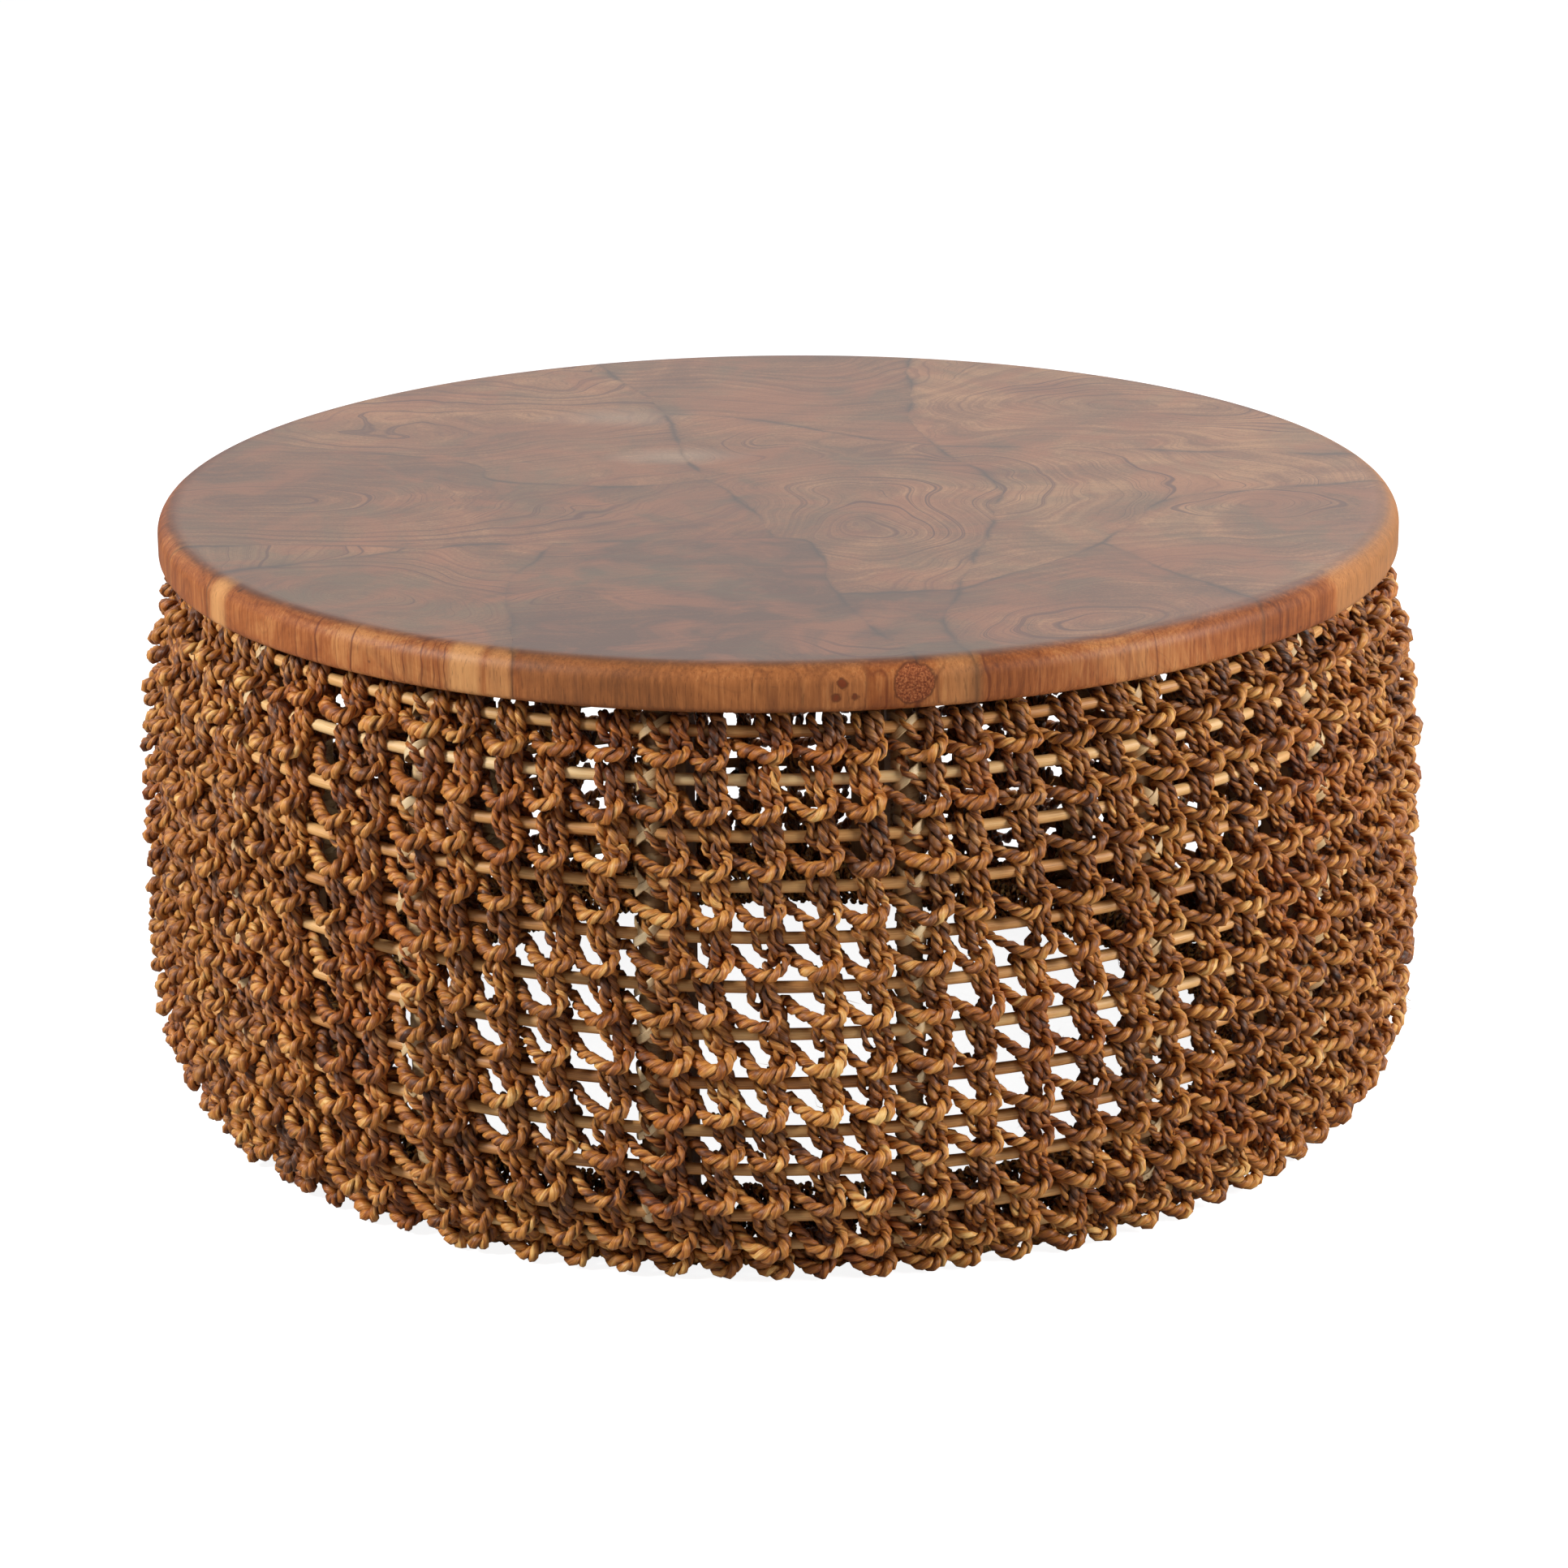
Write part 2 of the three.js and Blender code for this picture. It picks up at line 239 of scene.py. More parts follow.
def endCaps(rings, sides):
    # fans that close both ends of an open tube
    fan = np.arange(1, sides - 1)
    last = (rings - 1) * sides
    low = np.stack([np.zeros_like(fan), fan + 1, fan], 1)
    high = np.stack([np.full_like(fan, last), last + fan, last + fan + 1], 1)
    return np.concatenate([low, high])


# Making materials

def paint(red, green, blue):
    # a colour as it looks on screen, 0 to 255, turned into the shader's own scale
    def straight(level):
        share = level / 255
        return share / 12.92 if share <= 0.04045 else ((share + 0.055) / 1.055) ** 2.4
    return (straight(red), straight(green), straight(blue), 1)


class Finish:
    # one material, or the world, and the nodes in it
    def __init__(self, name, kind="materials"):
        self.owner = getattr(bpy.data, kind).new(name)
        self.owner.use_nodes = True
        self.tree = self.owner.node_tree
        self.tree.nodes.clear()

    def add(self, kind, settings=None, inputs=None, output=0):
        made = self.tree.nodes.new("ShaderNode" + kind)
        for label, value in (settings or {}).items():
            setattr(made, label, value)
        for label, value in (inputs or {}).items():
            if isinstance(value, bpy.types.NodeSocket):
                self.tree.links.new(value, made.inputs[label])
            else:
                made.inputs[label].default_value = value
        return made.outputs[output] if made.outputs else None

    def attribute(self, label, vector=False):
        return self.add("Attribute", {"attribute_name": label}, output="Vector" if vector else "Fac")

    def place(self, scale=(1, 1, 1)):
        return self.stretched(self.add("TexCoord", output="Object"), scale)

    def stretched(self, vector, scale):
        return self.add("Mapping", inputs={"Vector": vector, "Scale": scale})

    def noise(self, vector, scale, detail=3, roughness=0.55, distortion=0):
        return self.add("TexNoise", inputs={
            "Vector": vector, "Scale": scale, "Detail": detail, "Roughness": roughness,
            "Distortion": distortion,
        })

    def noiseAlong(self, value, scale, detail=3, roughness=0.55):
        return self.add("TexNoise", {"noise_dimensions": "1D"}, {
            "W": value, "Scale": scale, "Detail": detail, "Roughness": roughness,
        })

    def patches(self, vector, scale, low, high, newLow=0, newHigh=1, **kind):
        # noise spread from one level to the other between its low and high
        return self.spread(self.noise(vector, scale, **kind), low, high, newLow, newHigh)

    def math(self, operation, first, second=0.5):
        return self.add("Math", {"operation": operation}, {0: first, 1: second})

    def times(self, first, second):
        return self.math("MULTIPLY", first, second)

    def swing(self, value, size):
        # to both sides of nothing
        return self.times(self.math("SUBTRACT", value, 0.5), size)

    def blend(self, *parts):
        # a sum of values, each with its share
        total = 0
        for value, share in parts:
            total = self.math("ADD", self.times(value, share), total)
        return total

    def near(self, value, middle, inner, outer, strength=1):
        # full strength up to the inner distance from the middle, none from the outer one on
        gap = self.math("ABSOLUTE", self.math("SUBTRACT", value, middle))
        return self.spread(gap, inner, outer, strength, 0)

    def distance(self, place, centre):
        ends = {0: place, 1: tuple(centre)}
        return self.add("VectorMath", {"operation": "DISTANCE"}, ends, output="Value")

    def spread(self, value, low, high, newLow=0, newHigh=1):
        return self.add("MapRange", inputs={
            "Value": value, "From Min": low, "From Max": high, "To Min": newLow, "To Max": newHigh,
        })

    def mix(self, share, first, second, blend="MIX"):
        return self.add(
            "Mix", {"data_type": "RGBA", "blend_type": blend}, {0: share, 6: first, 7: second}, output=2,
        )

    def stain(self, colour, *layers):
        # each layer is a share and the colour laid on
        for share, laid in layers:
            colour = self.mix(share, colour, paint(*laid))
        return colour

    def ramp(self, value, stops):
        # each stop is a place and a colour
        made = self.tree.nodes.new("ShaderNodeValToRGB")
        self.tree.links.new(value, made.inputs[0])
        points = made.color_ramp.elements
        while len(points) < len(stops):
            points.new(1)
        for point, (where, *colour) in zip(points, stops):
            point.position = where
            point.color = paint(*colour)
        return made.outputs[0]

    def bump(self, height, strength, distance):
        return self.add("Bump", inputs={"Height": height, "Strength": strength, "Distance": distance})

    def surface(self, settings):
        shader = self.add("BsdfPrincipled", inputs=settings)
        self.add("OutputMaterial", inputs={"Surface": shader})
        return self.owner


def streakyFinish(name, look):
    # fine streaks and broad patches from dark to pale, along the piece's own grain if it has one
    finish = Finish(name)
    if "stretch" in look:
        streaks = finish.noise(finish.place(look["stretch"]), **look["streaks"])
        tone = 0
    else:
        streaks = finish.noise(finish.attribute("grain", vector=True), **look["streaks"])
        tone = finish.attribute("tone")
    patches = finish.noise(finish.place(), **look["patches"])
    streakShare, patchShare = look["shares"]
    mixed = finish.blend((streaks, streakShare), (patches, patchShare), (tone, 1))
    return finish.surface({
        "Base Color": finish.ramp(mixed, look["colours"]),
        "Roughness": finish.spread(streaks, 0.3, 0.7, *look["roughness"]),
        "Normal": finish.bump(streaks, *look["relief"]),
    })


# Camera, as the photograph was taken
view = {
    "distance": 3.6,
    "height": 1.3768,
    "pitchDown": 17.873,  # degrees
    "roll": 0.57,
    "turn": -0.038,
    "lens": 115.13,
    "sensor": 36,
}
cameraData = bpy.data.cameras.new("camera")
cameraData.lens = view["lens"]
cameraData.sensor_width = view["sensor"]
camera = addObject("camera", cameraData)
camera.matrix_world = (
    Matrix.Translation((0, -view["distance"], view["height"]))
    @ Matrix.Rotation(math.radians(view["turn"]), 4, "Z")
    @ Matrix.Rotation(math.radians(90 - view["pitchDown"]), 4, "X")
    @ Matrix.Rotation(math.radians(-view["roll"]), 4, "Z")
)
scene.camera = camera
print("camera placed")


# Top: slabs of root wood, full thickness, glued edge to edge
topShape = {
    "upperRound": 14,
    "lowerRound": 5,
    "around": 480,
    "faceStep": 4,
    "roundSteps": 10,
    "sideSteps": 5,
    "underSteps": 24,
    "underStart": 12,  # radius of the innermost ring below
    "faceEnd": 4,  # and of the one above
    "cutHeight": 12,  # above the underside, where each slab's outline is read
    "cutterOver": 5,
    "pastRim": 1.06,
    "rimReach": 1.6,
    "jointStep": 4,
    "jointReach": 1,  # how near two slabs are where they are glued
    "cornerReach": 34,
    "cornerSteps": 8,
    "tighten": 0.16,
    "jointWaves": [(3, 75, 2.2), (5, 17, 0.6)],  # seed, wavelength and size
    "jointShade": 16,
    "ringWaves": [(230, 22), (90, 5), (34, 1.2)],  # wavelength and size
    "ringLean": 0.12,
    "rimWidth": 16,  # how far in from the edge the rim's own look begins, and how soon it is full
    "rimSoft": 12,
    "sapWidth": 20,
    "sapSoft": 14,
    "sharpAngle": 35,
}
# Each slab's growth rings: their centre to the right and back in shares of the top's radius, how far they
# are drawn out and in which direction in degrees; then how light its face and its part of the rim are
slabFigures = {
    "top_slab_back_left": (-0.46, 0.55, 2.2, 8, 0.06, 0),
    "top_slab_back": (0.02, 1.05, 2.0, 0, 0.02, 0),
    "top_slab_back_right": (0.6, 0.56, 1.9, -12, 0.2, 0),
    "top_slab_centre": (0.12, -0.2, 2.4, 82, 0.06, 0),
    "top_slab_right": (0.2, -0.03, 1.5, 12, 0.15, 0.05),
    "top_slab_left": (-0.85, -0.03, 3.0, 4, -0.08, 0),
    "top_slab_left_strip": (-1.25, -0.5, 1.5, 30, -0.04, 0.02),
    "top_slab_front_left": (-0.63, -0.61, 1.9, -10, -0.1, 0.18),
    "top_slab_front": (-0.13, -0.62, 1.9, 4, -0.24, 0.06),
    "top_slab_front_knot": (0.2, -0.96, 1.4, 20, -0.24, 0.16),
    "top_slab_front_right": (0.52, -0.76, 1.7, 20, -0.02, 0.1),
    "top_slab_right_front": (0.76, -0.11, 1.8, 18, 0.1, -0.02),
}
# Stretches of pale sapwood on the rim: first and last azimuth in degrees, strength
sapwoodArcs = [
    (-60.4, -57.4, 0.9), (-29.1, -25.6, 0.85), (-25.6, -22.7, 0.5), (-22.7, 7.5, 0.16),
    (13.2, 17.3, 0.36), (58, 120, 0.45), (150, 171, 0.8), (-150, -128, 0.6),
]
# Knots on the rim: azimuth, height, radius
rimKnots = [(11.2, 18.5, 14), (5.2, 20, 4), (4.6, 11.5, 3), (6.2, 11.5, 2.4), (-133, 15, 9)]
# Dark upright lines on the rim: azimuth, half width in degrees, strength
rimLines = [
    (-56.4, 0.1, 0.5), (-46.2, 0.1, 0.4), (-43.4, 0.18, 0.75), (-41.1, 0.1, 0.35), (-39.4, 0.15, 0.8),
    (-34.7, 0.1, 0.5), (-34.2, 0.08, 0.35), (-33.4, 0.1, 0.5), (-31.8, 0.12, 0.65), (-30.7, 0.1, 0.5),
    (-30.1, 0.08, 0.45), (-29.3, 0.12, 0.7), (17.5, 0.16, 0.7), (33.6, 0.14, 0.6), (48.6, 0.12, 0.6),
    (66, 0.16, 0.6), (-70, 0.16, 0.6), (-84, 0.12, 0.5), (103, 0.14, 0.6), (141, 0.16, 0.6),
    (-118, 0.14, 0.6),
]
# Pale spots on the face: the middle with its sideways part halved, and the reach, in metres
paleSpots = [((-0.062, 0.235, 0.444), 0.035), ((-0.036, 0.11, 0.444), 0.03)]


def rootWood():
    wood = Finish("rootWood")
    place, upright = wood.place(), wood.place((1, 1, 0.06))
    ring, light, joint, sapwood, rim = map(wood.attribute, ("ring", "light", "joint", "sapwood", "rim"))
    bands = wood.spread(wood.noiseAlong(ring, 0.1, detail=5, roughness=0.62), 0.3, 0.7)
    blotches = wood.patches(place, 6, 0.3, 0.7, detail=6, roughness=0.66, distortion=0.9)
    fibres = wood.patches(upright, 380, 0.3, 0.7, roughness=0.7)
    fibreShare = wood.spread(rim, 0, 1, 0.22, 0.3)
    figure = wood.blend((bands, 0.25), (blotches, 0.53), (fibres, fibreShare), (light, 1))
    face = wood.ramp(figure, [
        (0.15, 82, 52, 35), (0.4, 107, 69, 44), (0.58, 131, 87, 57), (0.82, 172, 124, 85),
    ])
    greyed = wood.patches(place, 5, 0.46, 0.62, 0, 0.6, detail=5, roughness=0.66, distortion=1.2)
    rosy = wood.patches(place, 13, 0.46, 0.62, 0, 0.55, detail=5, roughness=0.62, distortion=0.8)
    face = wood.stain(face, (greyed, (98, 80, 57)), (rosy, (150, 90, 58)))
    edge = wood.ramp(figure, [
        (0.22, 96, 44, 18), (0.46, 136, 71, 31), (0.66, 166, 94, 46), (0.92, 196, 130, 74),
    ])
    colour = wood.mix(wood.times(rim, 0.9), face, edge)
    # thin dark rings that come and go
    showing = wood.times(wood.patches(place, 6, 0.36, 0.56, detail=2), wood.spread(rim, 0, 1, 0.85, 0.2))
    lines = wood.near(wood.noiseAlong(ring, 0.06, detail=2, roughness=0.45), 0.5, 0, 0.011)
    lines = wood.times(lines, showing)
    finer = wood.near(wood.noiseAlong(ring, 0.15, detail=1), 0.5, 0, 0.022)
    finer = wood.times(finer, wood.spread(rim, 0, 1, 0.42, 0.2))
    flecks = wood.patches(wood.place((0.22, 1, 1)), 90, 0.73, 0.77, 0, 0.7, detail=2)
    colour = wood.stain(colour, (lines, (72, 36, 25)), (finer, (94, 48, 34)), (flecks, (58, 34, 26)))
    for middle, reach in paleSpots:
        away = wood.distance(wood.place((0.5, 1, 1)), middle)
        away = wood.blend((away, 1), (wood.noise(place, 16), 0.03))
        pale = wood.spread(away, 0.015, 0.015 + reach, 0.5, 0)
        colour = wood.stain(colour, (pale, (170, 146, 124)))
    # the rim: scores, upright lines, painted shade in a dark band along the upper rounding where the face's
    # reflection gives way, sapwood
    scored = wood.times(rim, wood.patches(place, 3.1, 0.42, 0.58, 0.1, 0.7, detail=1))
    scores = wood.times(wood.near(wood.noise(upright, 48, detail=1), 0.5, 0.004, 0.036), scored)
    colour = wood.stain(colour, (scores, (104, 46, 20)))
    across, back = (wood.add("SeparateXYZ", inputs={0: place}, output=axis) for axis in "XY")
    sideways = wood.math("SUBTRACT", across, topCentre[0] * mm)
    frontwards = wood.math("SUBTRACT", topCentre[1] * mm, back)
    azimuth = wood.math("DEGREES", wood.math("ARCTAN2", sideways, frontwards))
    sway = wood.swing(wood.noise(wood.place((1, 1, 0.7)), 36, detail=2), 1.6)
    azimuth = wood.math("ADD", azimuth, sway)
    for bearing, reach, strength in rimLines:
        line = wood.times(wood.near(azimuth, bearing, 0.3 * reach, reach, strength), rim)
        colour = wood.stain(colour, (line, (92, 36, 16)))
    # painted shade: a ragged dark band on the upper rounding, where the face's pale reflection gives way
    roundingShade = wood.patches(place, 60, 0.3, 0.6, detail=4, roughness=0.65)
    roundingShade = wood.times(wood.near(rim, 0.42, 0.1, 0.42, 0.75), roundingShade)
    sap = wood.times(sapwood, wood.spread(fibres, 0, 1, 0.75, 1))
    glue = wood.times(wood.math("POWER", joint, 1.5), 0.85)
    colour = wood.stain(colour, (roundingShade, (84, 42, 22)), (sap, (214, 156, 98)), (glue, (54, 37, 29)))
    ragged = wood.swing(wood.noise(place, 130), 8 * mm)
    speckle = wood.noise(place, 700, roughness=0.7)
    burl = wood.ramp(speckle, [(0.36, 92, 42, 20), (0.5, 140, 72, 38), (0.64, 180, 110, 66)])
    for bearing, height, radius in rimKnots:
        centre = roundMiddle(topRadius, math.radians(bearing), topLow[2] + height) + [*topCentre, 0]
        gap = wood.math("ADD", wood.distance(place, centre * mm), ragged)
        outer = wood.spread(gap, (radius - 0.6) * mm, (radius + 0.9) * mm, 0.8, 0)
        inner = wood.spread(gap, (radius - 2) * mm, (radius - 0.8) * mm, 1, 0)
        colour = wood.stain(colour, (outer, (84, 40, 20)))
        colour = wood.mix(inner, colour, burl if radius > 6 else paint(118, 54, 26))
    pores = wood.patches(wood.place((1, 1, 0.12)), 800, 0.58, 0.7, 0, 0.4, detail=2, roughness=0.5)
    return wood.surface({
        "Base Color": wood.stain(colour, (pores, (84, 50, 30))),
        "Roughness": wood.spread(rim, 0, 1, 0.4, 0.5),
        "Normal": wood.bump(wood.blend((fibres, 0.5), (bands, 0.2)), 0.14, 0.0004),
        "Specular IOR Level": wood.spread(rim, 0, 0.7, 0.62, 0.22),
    })


def topDisc():
    # the whole top as one fine turned disc
    under, face = topLow[2], topHigh[2]
    lower, upper = topShape["lowerRound"], topShape["upperRound"]
    lowReach, lowHeight = topRadius - lower, under + lower
    highReach, highHeight = topRadius - upper, face - upper
    turns = np.linspace(0, math.pi / 2, topShape["roundSteps"] + 1)
    outward = np.linspace(topShape["underStart"], lowReach, topShape["underSteps"])
    upwards = np.linspace(lowHeight, highHeight, topShape["sideSteps"])
    inward = np.linspace(highReach, topShape["faceEnd"], int(highReach / topShape["faceStep"]))
    profile = np.array([
        *((reach, under) for reach in outward[:-1]),
        *((lowReach + lower * math.sin(turn), lowHeight - lower * math.cos(turn)) for turn in turns[::2]),
        *((topRadius, height) for height in upwards[1:-1]),
        *((highReach + upper * math.cos(turn), highHeight + upper * math.sin(turn)) for turn in turns),
        *((reach, face) for reach in inward[1:]),
    ])
    angles = fullTurn(topShape["around"])
    rings, sides = len(profile), len(angles)
    points = np.stack([
        topCentre[0] + profile[:, :1] * np.cos(angles),
        topCentre[1] + profile[:, :1] * np.sin(angles),
        np.repeat(profile[:, 1:], sides, 1),
    ], -1).reshape(-1, 3)
    middles = np.array([[*topCentre, under], [*topCentre, face]])
    side = np.arange(sides)
    beside = (side + 1) % sides
    last = (rings - 1) * sides
    fans = np.concatenate([
        np.stack([np.full(sides, rings * sides), beside, side], 1),
        np.stack([np.full(sides, rings * sides + 1), last + side, last + beside], 1),
    ])
    return np.concatenate([points, middles]), [tubeFaces(rings, sides, False), fans]


def looseObject(name, points, faces):
    mesh = bpy.data.meshes.new(name)
    mesh.from_pydata(points.tolist(), [], [face for part in faces for face in part.tolist()])
    return addObject(name, mesh)


def slabOutline(name):
    # the slab's outline in plan, counterclockwise, read by cutting its CAD node level
    work = bmesh.new()
    work.from_mesh(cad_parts[name].data)
    bmesh.ops.remove_doubles(work, verts=work.verts, dist=1e-6)
    level = (0, 0, (topLow[2] + topShape["cutHeight"]) * mm)
    everything = work.verts[:] + work.edges[:] + work.faces[:]
    cut = bmesh.ops.bisect_plane(work, geom=everything, plane_co=level, plane_no=(0, 0, 1), dist=1e-7)
    edges = [item for item in cut["geom_cut"] if isinstance(item, bmesh.types.BMEdge)]
    neighbours = {}
    for edge in edges:
        first, second = edge.verts
        neighbours.setdefault(first, []).append(second)
        neighbours.setdefault(second, []).append(first)
    start = edges[0].verts[0]
    chain, before, here = [start], None, start
    while True:
        onward = [corner for corner in neighbours[here] if corner is not before]
        before, here = here, onward[0]
        if here is start:
            break
        chain.append(here)
    outline = np.array([corner.co[:2] for corner in chain]) / mm
    work.free()
    following = np.roll(outline, -1, 0)
    area = (outline[:, 0] * following[:, 1] - outline[:, 1] * following[:, 0]).sum()
    return outline if area > 0 else outline[::-1]


def plainCorners(outline):
    # leaves out points that lie on a straight run
    before, after = np.roll(outline, 1, 0), np.roll(outline, -1, 0)
    turn = np.cross(unit(outline - before), unit(after - outline))
    return outline[np.abs(turn) > 0.002]


def gapToEdges(places, starts, ends):
    # from each place to the nearest of the edges
    nearest = np.full(len(places), 1e9)
    for start, end in zip(starts, ends):
        run = end - start
        share = np.clip(((places - start) @ run) / max(run @ run, 1e-9), 0, 1)
        nearest = np.minimum(nearest, np.hypot(*(places - start - share[:, None] * run).T))
    return nearest


def slabOutlines():
    # each slab's corners, and which of them stay sharp: those where three slabs meet, or on the rim
    outlines = [plainCorners(slabOutline(name)) for name in slabNames]
    corners = np.concatenate(outlines)
    near = topShape["jointReach"]
    touching = sum(gapToEdges(corners, outline, np.roll(outline, -1, 0)) < near for outline in outlines)
    meeting = []
    for corner in corners[touching > 2]:
        if all(np.hypot(*(corner - other)) > 3 * near for other in meeting):
            meeting.append(corner)
    meeting = np.array(meeting)
    marked = {}
    for name, outline in zip(slabNames, outlines):
        points = []
        for here, ahead in zip(outline, np.roll(outline, -1, 0)):
            run = ahead - here
            share = (meeting - here) @ run / (run @ run)
            onEdge = np.hypot(*(meeting - here - share[:, None] * run).T) < near
            margin = 3 * near / np.hypot(*run)
            inside = share[onEdge & (share > margin) & (share < 1 - margin)]
            points += [here] + [here + run * part for part in np.sort(inside)]
        points = np.array(points)
        gaps = np.linalg.norm(points[:, None] - meeting[None], axis=-1).min(1)
        marked[name] = points, gaps < 3 * near
    return marked


def cutterOutline(outline, sharp):
    # small steps along each joint, round its plain corners, and past the rim where the slab meets it
    atRim = np.hypot(*(outline - topCentre).T) > topRadius - topShape["rimReach"]
    sharp = sharp | atRim
    sizes = np.linalg.norm(np.roll(outline, -1, 0) - outline, axis=1)
    handles = np.minimum(sizes / 2, topShape["cornerReach"]) / sizes
    points, onJoint = [], []
    for index, here in enumerate(outline):
        following = (index + 1) % len(outline)
        ahead = outline[following]
        if atRim[index]:
            points.append(topCentre + (here - topCentre) * topShape["pastRim"])
            onJoint.append(False)
            if atRim[following]:
                continue
        run = ahead - here
        first = 0 if sharp[index] else handles[index]
        last = 1 if sharp[following] else 1 - handles[index]
        steps = max(1, int((last - first) * sizes[index] / topShape["jointStep"]))
        course = [here + run * share for share in np.linspace(first, last, steps, endpoint=False)]
        if not sharp[following]:
            start = here + run * last
            end = ahead + (outline[(following + 1) % len(outline)] - ahead) * handles[following]
            for share in np.linspace(0, 1, topShape["cornerSteps"], endpoint=False):
                course.append((1 - share) ** 2 * start + 2 * share * (1 - share) * ahead + share ** 2 * end)
        if atRim[following]:
            course.append(ahead)
        points += course
        onJoint += [True] * len(course)
    # the slabs are glued tight: the joints are widened until they touch
    points, onJoint = np.array(points), np.array(onJoint)
    run = aheadOf(points)
    points = points + onJoint[:, None] * topShape["tighten"] * np.stack([run[:, 1], -run[:, 0]], 1)
    waves = [
        size * np.stack([wavyField(points, seed + axis, wavelength) for axis in (0, 1)], 1)
        for seed, wavelength, size in topShape["jointWaves"]
    ]
    return sum(waves, points), onJoint


def cutSlab(disc, outline):
    # the part of the disc inside the outline
    count, over = len(outline), topShape["cutterOver"]
    points = np.concatenate([
        np.c_[outline, np.full(count, height)] for height in (topLow[2] - over, topHigh[2] + over)
    ])
    around = np.arange(count)
    beside = (around + 1) % count
    walls = np.stack([around, beside, beside + count, around + count], 1)
    cutter = looseObject("cutter", points, [walls, around[None, ::-1], around[None] + count])
    step = disc.modifiers.new("cut", "BOOLEAN")
    step.operation = "INTERSECT"
    step.solver = "MANIFOLD"
    step.object = cutter
    cut = bpy.data.meshes.new_from_object(disc.evaluated_get(bpy.context.evaluated_depsgraph_get()))
    disc.modifiers.remove(step)
    bpy.data.objects.remove(cutter)
    return cut


def woodAttributes(mesh, name, outline, onJoint):
    # what the wood's finish reads: growth rings, lightness, glued joints, rim and sapwood
    points = meshPoints(mesh)
    plan = points[:, :2]
    right, back, drawnOut, bearing, faceLight, rimLight = slabFigures[name]
    away = plan - topCentre - np.array([right, back]) * topRadius
    turn = math.radians(bearing)
    along = away[:, 0] * math.cos(turn) + away[:, 1] * math.sin(turn)
    across = away[:, 1] * math.cos(turn) - away[:, 0] * math.sin(turn)
    seed = slabNames.index(name) * 10 + 20
    warp = sum(
        size * wavyField(points, seed + step, wavelength)
        for step, (wavelength, size) in enumerate(topShape["ringWaves"])
    )
    ring = np.hypot(along / drawnOut, across) + warp + topShape["ringLean"] * points[:, 2] + 400 * seed
    inward = np.hypot(*(plan - topCentre).T) - topRadius
    onRim = fadeIn(inward, -topShape["rimWidth"], topShape["rimSoft"])
    jointed = onJoint & np.roll(onJoint, -1)
    distance = gapToEdges(plan, outline[jointed], np.roll(outline, -1, 0)[jointed])
    patchy = np.clip(0.2 + 0.5 * wavyField(points, 8, 80), 0, 0.7)
    faint = np.clip(0.5 + 0.3 * wavyField(points, 7, 60), 0.2, 0.8)
    joint = np.exp(-distance / topShape["jointShade"]) * patchy + faint * bell(distance, 2)
    joint = joint * (1 - onRim) + 0.8 * onRim * bell(distance, 0.8)
    azimuth = np.degrees(np.arctan2(plan[:, 0] - topCentre[0], -(plan[:, 1] - topCentre[1])))
    sapwood = np.zeros(len(points))
    for first, last, strength in sapwoodArcs:
        inside = fadeIn(azimuth, first, 0.5) * fadeIn(-azimuth, -last, 0.5)
        sapwood = np.maximum(sapwood, inside * strength)
    nearRim = fadeIn(inward, -topShape["sapWidth"], topShape["sapSoft"]) ** 2
    return {
        "ring": ring,
        "light": faceLight + (rimLight - faceLight) * onRim,
        "joint": np.clip(joint, 0, 1),
        "sapwood": sapwood * nearRim,
        "rim": onRim,
    }


def makeTop():
    wood = rootWood()
    disc = looseObject("disc", *topDisc())
    for name, (corners, sharp) in slabOutlines().items():
        outline, onJoint = cutterOutline(corners, sharp)
        mesh = cutSlab(disc, outline)
        for label, values in woodAttributes(mesh, name, outline, onJoint).items():
            addAttribute(mesh, label, values)
        mesh.transform(Matrix.Scale(mm, 4))
        mesh.polygons.foreach_set("use_smooth", np.ones(len(mesh.polygons), bool))
        mesh.set_sharp_from_angle(angle=math.radians(topShape["sharpAngle"]))
        made = addObject(name.replace("top_slab", "root_wood"), mesh)
        settle(made, "root", [name], wood)
    bpy.data.objects.remove(disc)


makeTop()
print("top pieced from", len(slabNames), "slabs")


# Hoops: thin peeled cane rods bent into level rings
hoopLook = {
    "sides": 12,
    "around": 360,
    "wobble": 0.5,
    "uneven": 0.03,
    "nodeSpacing": 380,
    "nodeRise": 0.35,
    "nodeWidth": 2.5,
    "nodeDark": 0.32,
    "nodeDarkWidth": 1.6,
    "streaks": {"scale": 1.5, "detail": 4, "roughness": 0.65},
    "patches": {"scale": 14},
    "shares": (0.55, 0.35),
    "colours": [(0.14, 132, 80, 38), (0.32, 198, 136, 74), (0.46, 226, 174, 108), (0.66, 240, 206, 150)],
    "roughness": (0.42, 0.6),
    "relief": (0.35, 0.0004),
}


